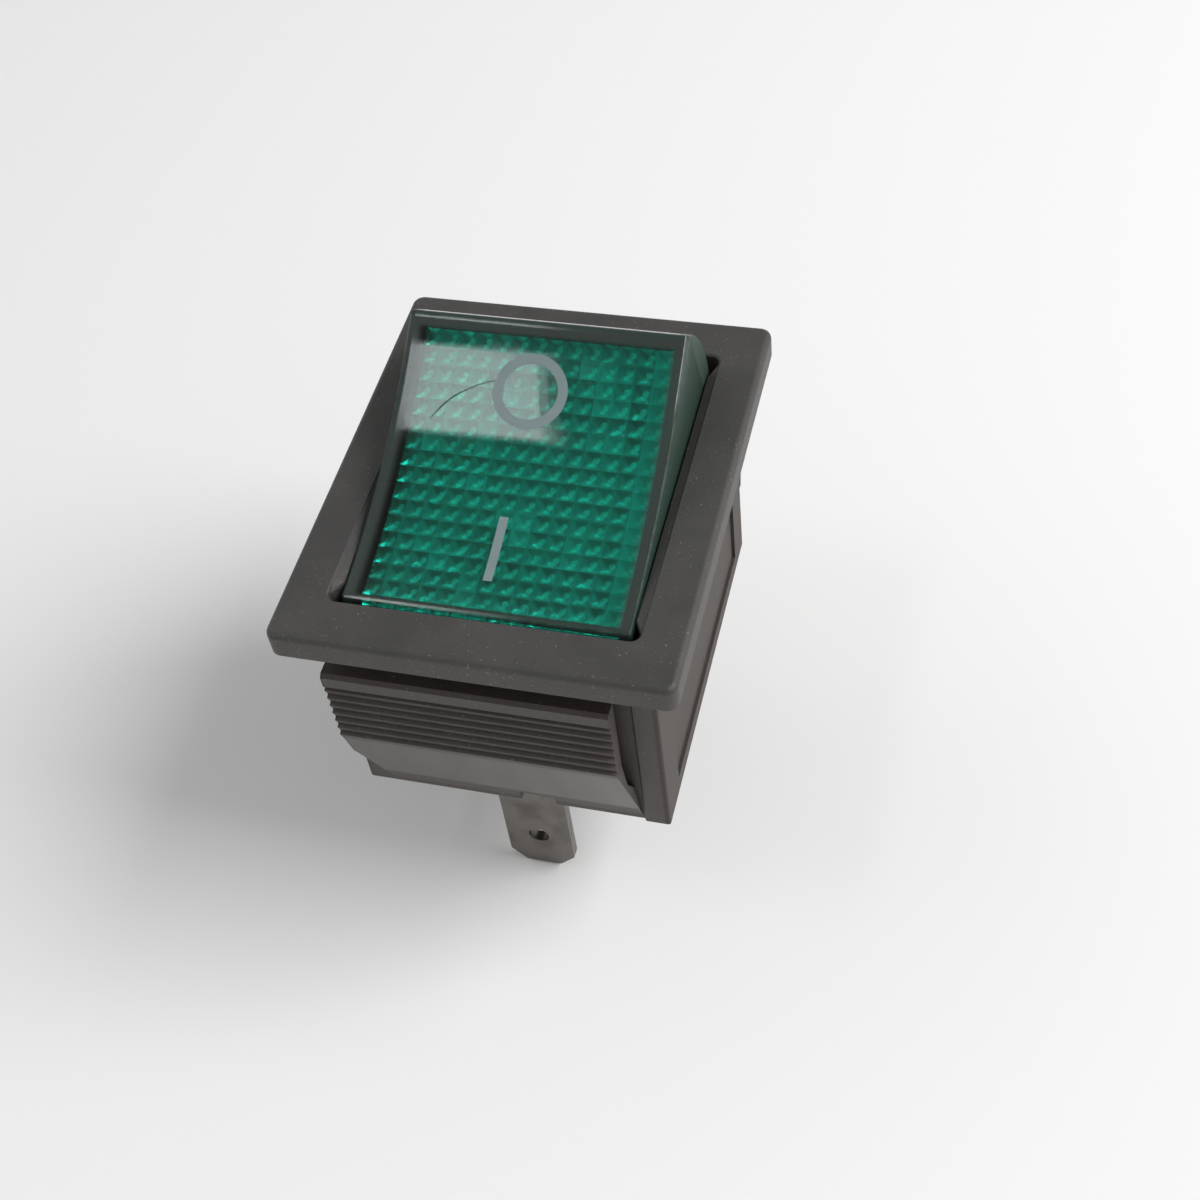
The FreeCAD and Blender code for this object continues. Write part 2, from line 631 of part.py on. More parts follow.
def tab_blade(y, top_left, top_right):
    raw = profile_xz(tab_outline(top_left, top_right), y - TAB_THICKNESS / 2, y + TAB_THICKNESS / 2)

    def tip_edge(e):
        z = e.CenterOfMass.z
        return z < TAB_TIP + 1e-6 and e.Length > TAB_THICKNESS + 0.01

    raw = bevelled(raw, TAB_EDGE_BEVEL, tip_edge)
    z = TAB_TIP + TAB_HOLE_FROM_TIP
    return raw.cut(rod(TAB_HOLE_RADIUS, vec(0, y - 1, z), vec(0, y + 1, z)))


def common_terminal():
    """The middle terminal: its top edge is the fulcrum, between two ears that keep the bar in place."""
    inner = BAR_NECK_HALF_WIDTH + EAR_GAP
    outer = inner + EAR_WIDTH
    top = FULCRUM_Z - FULCRUM_GAP
    ear_top = FULCRUM_Z + EAR_HEIGHT
    shoulder_top = FLOOR_TOP + SHOULDER_HEIGHT
    right = [(SHOULDER_WIDTH / 2, shoulder_top), (outer, shoulder_top + (outer - SHOULDER_WIDTH / 2)),
             (outer, ear_top), (inner, ear_top), (inner, top)]
    left = [(-x, z) for x, z in right[::-1]]
    return tab_blade(0, left, right)


def bent_flange(y_blade, y_end, x0, x1, z_top):
    """A strip that rises with the blade's back face, bends and runs flat towards the middle."""
    low = FLOOR_TOP + SHOULDER_HEIGHT / 2
    sign = 1 if y_blade > 0 else -1
    back = y_blade + sign * TAB_THICKNESS / 2
    front = y_blade - sign * TAB_THICKNESS / 2
    outline = [(back, low), (back, z_top), (y_end, z_top), (y_end, z_top - TAB_THICKNESS),
               (front, z_top - TAB_THICKNESS), (front, low)]
    strip = profile_yz(outline, x0, x1)

    def bend_edge(e):
        m = e.CenterOfMass
        return abs(e.Length - (x1 - x0)) < 1e-6 and abs(m.y - back) < 1e-6 and abs(m.z - z_top) < 1e-6

    return rounded(strip, FLANGE_BEND, bend_edge)


def load_terminal():
    seat = fixed_contact_place()
    half = TAB_WIDTH / 2
    shoulder_top = FLOOR_TOP + SHOULDER_HEIGHT
    shoulder = SHOULDER_WIDTH / 2
    blade = tab_blade(TAB_PITCH, [(-shoulder, shoulder_top)], [(shoulder, shoulder_top)])
    inner_end = TAB_PITCH + TAB_THICKNESS / 2 - FLANGE_REACH - TAB_THICKNESS
    flange = bent_flange(TAB_PITCH, inner_end, -half, half, seat.z)
    pad = block(-LAMP_SPRING_X - PAD_HALF, 0, PAD_FOOT_Y - PAD_HALF, PAD_FOOT_Y + PAD_HALF,
                seat.z - TAB_THICKNESS, seat.z)
    hole = rod(RIVET_SHANK, seat - vec(0, 0, 2), seat + vec(0, 0, 1))
    return blade.fuse([flange, pad]).cut(hole).removeSplitter()


def lamp_pad_top():
    return fixed_contact_place().z


def lamp_terminal():
    shoulder_top = FLOOR_TOP + SHOULDER_HEIGHT
    shoulder = SHOULDER_WIDTH / 2
    blade = tab_blade(-TAB_PITCH, [(-shoulder, shoulder_top)], [(shoulder, shoulder_top)])
    outer = LAMP_SPRING_X + PAD_HALF
    bridge = block(0, outer, -TAB_PITCH - TAB_THICKNESS / 2, -TAB_PITCH + TAB_THICKNESS / 2,
                   FLOOR_TOP + SHOULDER_HEIGHT / 2, shoulder_top + SHOULDER_HEIGHT / 2)
    flange = bent_flange(-TAB_PITCH, -PAD_FOOT_Y + PAD_HALF, outer - 2 * PAD_HALF, outer, lamp_pad_top())
    return blade.fuse([bridge, flange]).removeSplitter()


def neon_bulb():
    """A small glass bulb: a pinched neck where the two leads come out, and a sealed tip."""
    end = BULB_START + BULB_LENGTH
    outline = [(0, BULB_START - BULB_NECK), (BULB_NECK_RADIUS, BULB_START - BULB_NECK),
               (BULB_RADIUS, BULB_START), (BULB_RADIUS, end - BULB_SHOULDER), (BULB_TIP_RADIUS, end),
               (0, end + BULB_TIP)]
    glass = flat_face(*[vec(r, y, 0) for r, y in outline]).revolve(vec(0, 0, 0), vec(0, 1, 0), 360)
    return tilted(glass.translated(vec(BULB_X, 0, lamp_height(BULB_RADIUS))))


def lamp_resistor():
    """A moulded resistor with a slightly thicker cap at each end."""
    z = lamp_height(RESISTOR_RADIUS)
    end = RESISTOR_LENGTH / 2
    inner = end - RESISTOR_CAP
    body = rod(RESISTOR_WAIST, vec(RESISTOR_X, -inner, z), vec(RESISTOR_X, inner, z))
    cap = rod(RESISTOR_RADIUS, vec(RESISTOR_X, inner, z), vec(RESISTOR_X, end, z))
    other = rod(RESISTOR_RADIUS, vec(RESISTOR_X, -end, z), vec(RESISTOR_X, -inner, z))
    return tilted(body.fuse([cap, other]))


def spring_top(x, y):
    """Where a lamp spring's axis meets the underside of the carrier's floor."""
    return tilted_point(vec(x, y, PIVOT_Z + CARRIER_FLOOR_TOP - CARRIER_FLOOR))


def lamp_spring(side, turns):
    """From a terminal's pad up to the carrier, at (LAMP_SPRING_X, -PAD_FOOT_Y) times side."""
    foot = vec(side * LAMP_SPRING_X, -side * PAD_FOOT_Y, lamp_pad_top())
    top = spring_top(side * LAMP_SPRING_X, -side * LAMP_SPRING_Y)
    seat = tilted_point(vec(0, 0, PIVOT_Z + 1)) - vec(0, 0, PIVOT_Z)
    return coil(foot, top, seat, LAMP_SPRING_RADIUS, LAMP_SPRING_WIRE, turns)


def lamp_lead_front():
    """From the bulb's neck over the carrier's floor and down through its hole to the front spring."""
    z = lamp_height(BULB_RADIUS)
    neck = BULB_START - BULB_NECK
    low = PIVOT_Z + CARRIER_FLOOR_TOP - CARRIER_FLOOR
    points = [vec(BULB_X + BULB_PIN_HALF, neck, z), vec(BULB_X + BULB_PIN_HALF, -LAMP_SPRING_Y, z),
              vec(LAMP_SPRING_X, -LAMP_SPRING_Y, z - 2 * LEAD_BEND), vec(LAMP_SPRING_X, -LAMP_SPRING_Y, low)]
    return tilted(wire_along(points, LEAD_RADIUS, LEAD_BEND / 2))


def lamp_lead_cross():
    """From the bulb's other pin across the carrier to the resistor."""
    z = lamp_height(BULB_RADIUS)
    z_end = lamp_height(RESISTOR_RADIUS)
    neck = BULB_START - BULB_NECK
    points = [vec(BULB_X - BULB_PIN_HALF, neck, z), vec(BULB_X - BULB_PIN_HALF, LEAD_CROSS_Y, z),
              vec(RESISTOR_X, LEAD_CROSS_Y, z_end), vec(RESISTOR_X, -RESISTOR_LENGTH / 2, z_end)]
    return tilted(wire_along(points, LEAD_RADIUS, LEAD_BEND / 2))


def lead_sleeve():
    """Insulating sleeving over the middle of the cross lead."""
    z = lamp_height(BULB_RADIUS)
    z_end = lamp_height(RESISTOR_RADIUS)
    start = vec(BULB_X - BULB_PIN_HALF, LEAD_CROSS_Y, z)
    path = vec(RESISTOR_X, LEAD_CROSS_Y, z_end) - start
    low = start + path * SLEEVE_START
    high = start + path * (1 - SLEEVE_START)
    return tilted(rod(SLEEVE_RADIUS, low, high).cut(rod(LEAD_RADIUS + SLEEVE_GAP, start, start + path)))


def resistor_lead():
    """From the resistor down through the carrier's floor to the rear spring."""
    z = lamp_height(RESISTOR_RADIUS)
    low = PIVOT_Z + CARRIER_FLOOR_TOP - CARRIER_FLOOR
    points = [vec(RESISTOR_X, RESISTOR_LENGTH / 2, z), vec(RESISTOR_X, LAMP_SPRING_Y, z),
              vec(-LAMP_SPRING_X, LAMP_SPRING_Y, low)]
    return tilted(wire_along(points, LEAD_RADIUS, LEAD_BEND))


def lamp_spring_front():
    return lamp_spring(1, FRONT_SPRING_TURNS)


def lamp_spring_rear():
    return lamp_spring(-1, REAR_SPRING_TURNS)


PIECES = [housing, rocker_lens, rocker_carrier, plunger, plunger_spring, contact_bar,
          moving_contact_rivet, fixed_contact_rivet, common_terminal, load_terminal, lamp_terminal,
          neon_bulb, lamp_resistor, lamp_lead_front, lamp_lead_cross, lead_sleeve, resistor_lead,
          lamp_spring_front, lamp_spring_rear]


os.makedirs("parts", exist_ok=True)
for piece in PIECES:
    shape = piece()
    shape.exportStep("parts/" + piece.__name__ + ".step")
    print(piece.__name__, len(shape.Solids), "solid", round(shape.Volume, 3), "mm3", shape.isValid())
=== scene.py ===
# %% [markdown]
# # A lit panel rocker switch
#
# This notebook dresses a switch that snaps into a panel: a black moulded housing, a green
# rocker with a grid of small prisms under its top, and the contacts and lamp inside. The
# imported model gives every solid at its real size. The cells add finishes and the fine forms
# that a camera sees, and change no size.

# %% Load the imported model
import math

import bmesh
import bpy
from mathutils import Matrix, Vector


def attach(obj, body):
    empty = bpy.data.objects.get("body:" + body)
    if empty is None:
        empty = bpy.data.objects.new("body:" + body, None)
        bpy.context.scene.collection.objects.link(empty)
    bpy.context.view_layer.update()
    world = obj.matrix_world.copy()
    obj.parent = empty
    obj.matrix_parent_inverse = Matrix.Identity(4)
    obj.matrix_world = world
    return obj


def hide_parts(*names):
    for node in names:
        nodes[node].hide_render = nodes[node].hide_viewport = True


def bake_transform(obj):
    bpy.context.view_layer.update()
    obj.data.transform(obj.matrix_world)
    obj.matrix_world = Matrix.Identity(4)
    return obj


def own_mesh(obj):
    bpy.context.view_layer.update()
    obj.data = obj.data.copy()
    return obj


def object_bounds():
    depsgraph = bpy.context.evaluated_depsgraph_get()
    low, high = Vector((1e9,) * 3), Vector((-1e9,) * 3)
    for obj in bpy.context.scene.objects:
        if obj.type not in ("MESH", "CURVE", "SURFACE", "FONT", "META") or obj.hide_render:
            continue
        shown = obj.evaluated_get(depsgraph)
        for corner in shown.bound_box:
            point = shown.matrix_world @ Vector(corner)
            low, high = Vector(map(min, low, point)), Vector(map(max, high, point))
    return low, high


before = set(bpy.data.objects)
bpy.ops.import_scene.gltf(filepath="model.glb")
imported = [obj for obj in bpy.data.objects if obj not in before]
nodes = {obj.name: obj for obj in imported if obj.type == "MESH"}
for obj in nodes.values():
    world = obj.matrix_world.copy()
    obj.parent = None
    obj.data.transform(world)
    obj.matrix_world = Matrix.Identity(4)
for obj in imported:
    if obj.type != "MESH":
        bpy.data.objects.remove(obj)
MM = 0.001
cad_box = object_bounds()

# %% [markdown]
# ## Camera
#
# The photograph looks down on the I end from the front right, with the phone rolled a little.
# The camera is placed by its direction from a point on the panel plane, as a photographer
# would say it: so far round, so high up, so far away. Its lens is given by the focal length
# that the vanishing lines of the bezel ask for.

# %% Camera at the photograph's angle
VIEW_AZIMUTH = math.radians(20.26)
VIEW_ELEVATION = math.radians(50.31)
VIEW_ROLL = math.radians(-8.40)
VIEW_TARGET = Vector((6.228, -7.888, 0)) * MM
VIEW_DISTANCE = 108.6646 * MM
FOCAL_PIXELS = 1776.9
PHOTO_PIXELS = 1200
SENSOR_MM = 36


def direction(azimuth, elevation):
    """Unit vector from the object towards a viewer or a light."""
    flat = math.cos(elevation)
    return Vector((math.sin(azimuth) * flat, -math.cos(azimuth) * flat, math.sin(elevation)))


def aim(back, roll=0.0):
    """Rotation of a camera or lamp whose back points along that direction."""
    right = (-back).cross(Vector((0, 0, 1))).normalized()
    up = right.cross(-back)
    rolled_right = math.cos(roll) * right + math.sin(roll) * up
    rolled_up = math.cos(roll) * up - math.sin(roll) * right
    return Matrix((rolled_right, rolled_up, back)).transposed().to_4x4()


def link(thing):
    """Puts an object into the scene."""
    bpy.context.scene.collection.objects.link(thing)
    return thing


camera_data = bpy.data.cameras.new("camera")
camera_data.sensor_width = SENSOR_MM
camera_data.lens = FOCAL_PIXELS / PHOTO_PIXELS * SENSOR_MM
camera_data.clip_start = MM
camera = link(bpy.data.objects.new("camera", camera_data))
back = direction(VIEW_AZIMUTH, VIEW_ELEVATION)
camera.matrix_world = Matrix.Translation(VIEW_TARGET + back * VIEW_DISTANCE) @ aim(back, VIEW_ROLL)
bpy.context.scene.camera = camera
print("camera distance", round(VIEW_DISTANCE / MM, 1), "mm, lens", round(camera_data.lens, 1), "mm")

# %% [markdown]
# ## Node trees written as sums
#
# A node tree drawn by hand is hard to read in a script, so a small class wraps one output of a
# node. Sums, products and powers of it then add Math nodes by themselves, and 1 - mask works
# too. The same class serves materials and Geometry Nodes, because both have the Math node.

# %% A socket that can be added and multiplied
class Value:
    """One output of a node, usable in sums like a number."""

    def __init__(self, owner, socket):
        self.owner = owner
        self.socket = socket

    def math(self, operation, *others):
        """A Math node whose first value is this one."""
        return self.owner.math(operation, self, *others)

    def __add__(self, other):
        return self.math("ADD", other)

    def __sub__(self, other):
        return self.math("SUBTRACT", other)

    def __mul__(self, other):
        return self.math("MULTIPLY", other)

    def __truediv__(self, other):
        return self.math("DIVIDE", other)

    def __pow__(self, other):
        return self.math("POWER", other)

    def __rsub__(self, other):
        return self.owner.math("SUBTRACT", other, self)

    def __rtruediv__(self, other):
        return self.owner.math("DIVIDE", other, self)

    def __abs__(self):
        return self.math("ABSOLUTE")

    __radd__ = __add__
    __rmul__ = __mul__

    def step(self, edge, soft, low, high):
        """A soft step at the edge, from low to high."""
        settings = {"interpolation_type": "SMOOTHSTEP"}
        ends = {"From Min": edge - soft, "From Max": edge + soft, "To Min": low, "To Max": high}
        return self.owner.node("ShaderNodeMapRange", settings, {"Value": self, **ends})

    def above(self, edge, soft):
        """A mask that is 1 where the value lies above the edge."""
        return self.step(edge, soft, 0.0, 1.0)

    def below(self, edge, soft):
        """A mask that is 1 where the value lies below the edge."""
        return self.step(edge, soft, 1.0, 0.0)


def either(first, second):
    """The larger of two values: one mask or the other."""
    return first.math("MAXIMUM", second)


class Tree:
    """A node tree that is built by adding one node at a time."""

    def __init__(self, tree):
        self.tree = tree

    def feed(self, socket, value):
        """A link from a Value, or a constant on the socket itself."""
        if isinstance(value, Value):
            self.tree.links.new(value.socket, socket)
        else:
            socket.default_value = value

    def node(self, kind, settings=(), sockets=(), output=0):
        """Any node: settings first, then the values or links of its sockets."""
        made = self.tree.nodes.new(kind)
        for name, value in dict(settings).items():
            setattr(made, name, value)
        for key, value in dict(sockets).items():
            self.feed(made.inputs[key], value)
        return Value(self, made.outputs[output])

    def math(self, operation, *values):
        return self.node("ShaderNodeMath", {"operation": operation}, dict(enumerate(values)))

    def axes(self, place):
        """The three numbers of a place."""
        return [self.node("ShaderNodeSeparateXYZ", (), {0: place}, axis) for axis in range(3)]

# %% [markdown]
# ### Finishes
#
# A finish is a material around one Principled shader. What varies over a surface is noise over
# Object coordinates, so no part needs an unwrapped map. Where a painted sheen, painted shade or a
# second skin lies on top, one more shader is mixed over the first one through a mask.

# %% A material with its Principled shader
class Finish(Tree):
    """A material with a Principled shader and any shaders laid over it."""

    def __init__(self, name, **sockets):
        self.material = bpy.data.materials.new(name)
        self.material.use_nodes = True
        super().__init__(self.material.node_tree)
        self.shader = self.tree.nodes["Principled BSDF"]
        self.surface = Value(self, self.shader.outputs[0])
        self.set(**sockets)

    def set(self, **sockets):
        """Sockets of the shader by name, with _ for a space."""
        for name, value in sockets.items():
            self.feed(self.shader.inputs[name.replace("_", " ")], value)
        return self

    def place(self):
        """Object coordinates in metres, which here are the frame's own."""
        return self.node("ShaderNodeTexCoord", output="Object")

    def noise(self, scale, detail=2, stretch=(1, 1, 1)):
        """Noise over Object coordinates; stretch below 1 draws it out along that axis."""
        drawn = self.node("ShaderNodeMapping", (), {"Vector": self.place(), "Scale": stretch})
        return self.node("ShaderNodeTexNoise", (), {"Vector": drawn, "Scale": scale, "Detail": detail})

    def blend(self, amount, first, second):
        """Colour that goes from first to second as amount goes from 0 to 1."""
        return self.node("ShaderNodeMix", {"data_type": "RGBA"}, {0: amount, 6: first, 7: second}, 2)

    def bump(self, height, distance):
        """A normal from a height between 0 and 1 that stands for that distance in metres."""
        return self.node("ShaderNodeBump", (), {"Height": height, "Distance": distance, "Strength": 1.0})

    def over(self, factor, **sockets):
        """One more shader laid over the surface where factor is 1."""
        names = {name.replace("_", " "): value for name, value in sockets.items()}
        second = self.node("ShaderNodeBsdfPrincipled", (), names)
        self.surface = self.node("ShaderNodeMixShader", (), {0: factor, 1: self.surface, 2: second})
        self.feed(self.tree.nodes["Material Output"].inputs["Surface"], self.surface)

# %% [markdown]
# ### Shapes by Geometry Nodes
#
# What repeats, such as the prisms and the turns of a coil, is made by Geometry Nodes. Each tree
# has named inputs, as a maker would give a tool its numbers. The result is turned into a plain
# mesh at once, because only a plain mesh can be joined to a body or exported.

# %% A shape made by Geometry Nodes
class Shape(Tree):
    """Geometry Nodes with named inputs, run on a mesh and then turned to a plain mesh."""

    def __init__(self, name, **inputs):
        super().__init__(bpy.data.node_groups.new(name, "GeometryNodeTree"))
        self.tree.interface.new_socket("Geometry", in_out="INPUT", socket_type="NodeSocketGeometry")
        self.values = {}
        for label, value in inputs.items():
            kind = "NodeSocketInt" if isinstance(value, int) else "NodeSocketFloat"
            label = label.replace("_", " ")
            item = self.tree.interface.new_socket(label, in_out="INPUT", socket_type=kind)
            self.values[item.identifier] = value
        self.tree.interface.new_socket("Geometry", in_out="OUTPUT", socket_type="NodeSocketGeometry")
        self.group = self.tree.nodes.new("NodeGroupInput")

    def given(self, label):
        """One of the tree's named inputs."""
        return Value(self, self.group.outputs[label])

    def end(self, geometry, finish):
        """Realize Instances and Set Material close every tree."""
        real = self.node("GeometryNodeRealizeInstances", (), {"Geometry": geometry})
        dressed = self.node("GeometryNodeSetMaterial", (), {"Geometry": real, "Material": finish.material})
        out = self.tree.nodes.new("NodeGroupOutput")
        self.feed(out.inputs["Geometry"], dressed)

    def run(self, mesh):
        """The mesh as the tree changes it, with the modifier gone."""
        carrier = link(bpy.data.objects.new("shape_input", mesh))
        modifier = carrier.modifiers.new("shape", "NODES")
        modifier.node_group = self.tree
        for identifier, value in self.values.items():
            modifier[identifier] = value
        result = baked(carrier)
        bpy.data.objects.remove(carrier)
        return result


def baked(thing):
    """A plain mesh of an object as its modifiers leave it."""
    bpy.context.view_layer.update()
    graph = bpy.context.evaluated_depsgraph_get()
    return bpy.data.meshes.new_from_object(thing.evaluated_get(graph))

# %% [markdown]
# ## Light and floor
#
# The switch was photographed indoors. The room is a soft world, darker overhead than at its
# walls, and a large lamp to the right draws the shapes. The bright patch on the lens is a
# window's mirror image: a lamp stands in the direction in which the lens mirrors the camera's
# look, and its three layers, each a little larger, soften the outline. The floor is plain and
# pale.

# %% The room, its window and one large lamp
WORLD_TOP = 0.16
WORLD_SIDE = 1.1
WORLD_FRONT = 0.35
WORLD_BACK = 0.5
KEY_POWER = 2.9
KEY_PLACE = Vector((0.42, 0.06, 0.42))
KEY_SIZE = 0.35
WINDOW_TARGET = Vector((-4.4, 2.7, 6.0)) * MM
WINDOW_PLACE = Vector((-156.7, -109.4, 468.9)) * MM
WINDOW_TURN = math.radians(49)
WINDOW_WIDTH = 0.048
WINDOW_HEIGHT = 0.116
WINDOW_COLOUR = (0.90, 0.98, 1.0)
WINDOW_LAYERS = ((0.0, 0.062), (0.007, 0.042), (0.014, 0.026))
LAYER_STEP = 0.003


def soft_box(name, at, target, width, height, power, colour=(1, 1, 1), turn=0.0):
    """A rectangular lamp that faces the target."""
    data = bpy.data.lights.new(name, "AREA")
    data.shape = "RECTANGLE"
    data.size = width
    data.size_y = height
    data.energy = power
    data.color = colour
    lamp = link(bpy.data.objects.new(name, data))
    lamp.matrix_world = Matrix.Translation(at) @ aim((at - target).normalized(), turn)


world = bpy.data.worlds.new("studio")
world.use_nodes = True
room = Tree(world.node_tree)
depth, height = room.axes(room.node("ShaderNodeTexCoord", output="Generated"))[1:]
walls = WORLD_SIDE - (WORLD_SIDE - WORLD_FRONT) * depth.below(-0.35, 0.45)
walls = walls - (WORLD_SIDE - WORLD_BACK) * depth.above(0.35, 0.35)
warmth = room.node("ShaderNodeMix", {"data_type": "RGBA"},
                   {0: height.below(0.25, 0.35), 6: (1, 1, 1, 1), 7: (1.0, 0.94, 0.90, 1)}, 2)
sky = world.node_tree.nodes["Background"]
room.feed(sky.inputs["Strength"], WORLD_TOP + (walls - WORLD_TOP) * height.below(0.80, 0.12))
room.feed(sky.inputs["Color"], warmth)
bpy.context.scene.world = world
bpy.context.scene.view_settings.view_transform = "Standard"
away = (WINDOW_PLACE - WINDOW_TARGET).normalized()
for number, (grown, power) in enumerate(WINDOW_LAYERS):
    soft_box("window_" + str(number), WINDOW_PLACE + away * LAYER_STEP * number, WINDOW_TARGET,
             WINDOW_WIDTH + grown, WINDOW_HEIGHT + grown, power, WINDOW_COLOUR, WINDOW_TURN)
soft_box("key_box", KEY_PLACE, Vector((0, 0, 0)), KEY_SIZE, KEY_SIZE, KEY_POWER)
print("lamps:", len(WINDOW_LAYERS) + 1)

# %% A pale floor under the lowest tab
FLOOR_HALF = 2.0
FLOOR_CORNERS = ((-1, -1), (1, -1), (1, 1), (-1, 1))
floor_z = cad_box[0].z
corners = [(side * FLOOR_HALF, end * FLOOR_HALF, floor_z) for side, end in FLOOR_CORNERS]
floor_mesh = bpy.data.meshes.new("floor")
floor_mesh.from_pydata(corners, [], [(0, 1, 2, 3)])
floor = link(bpy.data.objects.new("floor", floor_mesh))
floor_finish = Finish("floor", Base_Color=(0.9, 0.9, 0.9, 1), Roughness=0.9)
floor_mesh.materials.append(floor_finish.material)
print("floor at", round(floor_z / MM, 2), "mm")

# %% [markdown]
# ## Black moulded plastic
#
# The housing is injection moulded in a black plastic whose mould was spark eroded, so every
# outer face carries a fine, even grain. Handling leaves a few pale specks of dust in it. The
# grain is far too small to model, so a Bump node gives it, and the same noise moves the
# roughness a little. One function builds it, because the rocker's carrier has it too. The
# plunger is moulded in pale nylon, which needs only a soft cloud and a very fine grain.

# %% Moulded plastic
GRAIN_SCALE = 9000
DUST_COLOUR = (0.30, 0.29, 0.28, 1)
WARM_LIGHT_TINT = (1.28, 1.02, 0.95)


def place_in_mm(finish, place, turn=0.0):
    """A place in metres as three numbers in millimetres, turned about X."""
    grown = finish.node("ShaderNodeMapping", (), {"Vector": place, "Rotation": (turn, 0, 0),
                                                  "Scale": (1000, 1000, 1000)})
    return finish.axes(grown)


def moulded(name, dark, pale, roughness, grain, specks):
    """Grained plastic; dust lies where its noise is above specks, and low parts get painted warm light."""
    finish = Finish(name)
    cloud = finish.noise(260, detail=3)
    fine = finish.noise(GRAIN_SCALE, detail=2)
    dust = finish.noise(5200, detail=1).above(specks, 0.02) * cloud.above(0.42, 0.1)
    base = finish.blend(cloud.above(0.5, 0.25), dark, pale)
    # Painted warm light: parts below the panel top are tinted browner, as warm light falls on them from
    # below.
    low = place_in_mm(finish, finish.place())[2].below(0.9, 1.2)
    warm_lit_colour = tuple(part * more for part, more in zip(pale, WARM_LIGHT_TINT)) + (1,)
    base = finish.blend(low * 0.5, base, warm_lit_colour)
    finish.set(Base_Color=finish.blend(dust * 0.42, base, DUST_COLOUR))
    finish.set(Roughness=roughness + 0.16 * (fine - 0.5) + 0.1 * (cloud - 0.5))
    finish.set(Normal=finish.bump(fine, grain * MM))
    return finish


black_plastic = moulded("black_plastic", (0.043, 0.041, 0.040, 1), (0.057, 0.055, 0.053, 1),
                        roughness=0.52, grain=0.030, specks=0.725)
inner_plastic = moulded("inner_plastic", (0.030, 0.029, 0.028, 1), (0.040, 0.039, 0.037, 1),
                        roughness=0.45, grain=0.010, specks=0.9)
nylon = Finish("pale_nylon", Roughness=0.38)
nylon_cloud = nylon.noise(600, detail=3)
nylon.set(Base_Color=nylon.blend(nylon_cloud, (0.66, 0.63, 0.55, 1), (0.76, 0.74, 0.67, 1)))
nylon.set(Normal=nylon.bump(nylon.noise(7000), 0.006 * MM))

# %% [markdown]
# ### Painted sheen on the ramps
#
# The smooth ramp under each wing's ribs mirrors the pale floor below it, so it gets a painted
# sheen: a paler colour in streaks, with a lower roughness that makes it a little glossy. The mask is on
# height and depth.

# %% Painted sheen on the ramps under the ribs
WING_FACE = 12.85
FOOT_TOP = -9.6
RAMP_SIDE = 10.7
x, y, z = place_in_mm(black_plastic, black_plastic.place())
streaks = black_plastic.noise(500, detail=3, stretch=(1, 1, 0.15))
ramp = z.below(FOOT_TOP, 0.15) * abs(y).above(WING_FACE, 0.05) * abs(x).below(RAMP_SIDE, 0.1)
# Painted sheen: the ramps get a paler colour in streaks, as they mirror the pale floor.
ramp_sheen = ramp * (0.75 + 0.5 * (streaks - 0.5))
black_plastic.over(ramp_sheen, Base_Color=(0.105, 0.094, 0.088, 1), Roughness=0.33)

# %% [markdown]
# ### Skin of the side walls, with painted warm shade
#
# The walls left and right of the body are duller than the rest and carry painted warm shade, a
# browner colour for the warm, dim light that falls on them. Their grain is lower: these walls slide
# along the steel when the part is pushed out of its mould, so a deep grain would be scraped off
# there. A third shader covers them alone.

# %% Duller walls at the sides, with painted warm shade
SIDE_WALL = 10.3
side_wall = abs(x).above(SIDE_WALL, 0.1) * z.below(-0.3, 0.1)
side_cloud = black_plastic.noise(300, detail=3)
warm_shade_colour = black_plastic.blend(side_cloud, (0.050, 0.042, 0.037, 1), (0.062, 0.052, 0.046, 1))
side_grain = black_plastic.bump(black_plastic.noise(GRAIN_SCALE), 0.020 * MM)
# Painted warm shade: a browner colour on the side walls, laid with a duller, lower grain.
black_plastic.over(side_wall * 0.7, Base_Color=warm_shade_colour, Roughness=0.6,
                   Specular_IOR_Level=0.2, Normal=side_grain)

# %% [markdown]
# ## Metals
#
# The tabs are brass with a dull tin plating, the contact bar is rolled copper and the contact
# rivets are silver alloy. The tabs' colour is kept well below bright tin: painted shade, as they
# stand in shadow under the body. Rolling leaves lines along the strip: a noise stretched along one
# axis gives them, in the roughness and in a very shallow bump.

# %% Rolled and plated metals
def metal(name, colour, roughness, stretch, depth, tarnish):
    """Metal with lines of that depth in mm along its length and soft stains."""
    finish = Finish(name, Metallic=1.0)
    lines = finish.noise(900, detail=4, stretch=stretch)
    stain = finish.noise(420, detail=5).above(0.52, 0.16)
    finish.set(Base_Color=finish.blend(stain * 0.6, colour, tarnish))
    finish.set(Roughness=roughness + 0.22 * (lines - 0.5) + 0.12 * stain)
    finish.set(Normal=finish.bump(lines, depth * MM))
    return finish


# Painted shade: the tin's colour is kept dark, as the tabs stand in shadow under the body.
tin = metal("tinned_brass", (0.19, 0.175, 0.16, 1), 0.34, (6, 6, 0.4), 0.012, (0.10, 0.088, 0.078, 1))
copper = metal("copper_strip", (0.70, 0.36, 0.20, 1), 0.30, (6, 0.4, 6), 0.010, (0.38, 0.17, 0.10, 1))
silver = metal("contact_silver", (0.82, 0.80, 0.77, 1), 0.26, (1, 1, 1), 0.006, (0.50, 0.47, 0.43, 1))
steel = metal("spring_steel", (0.60, 0.60, 0.61, 1), 0.25, (1, 1, 1), 0.003, (0.42, 0.42, 0.43, 1))
wire_tin = metal("tinned_wire", (0.66, 0.66, 0.66, 1), 0.30, (1, 1, 1), 0.003, (0.45, 0.45, 0.45, 1))

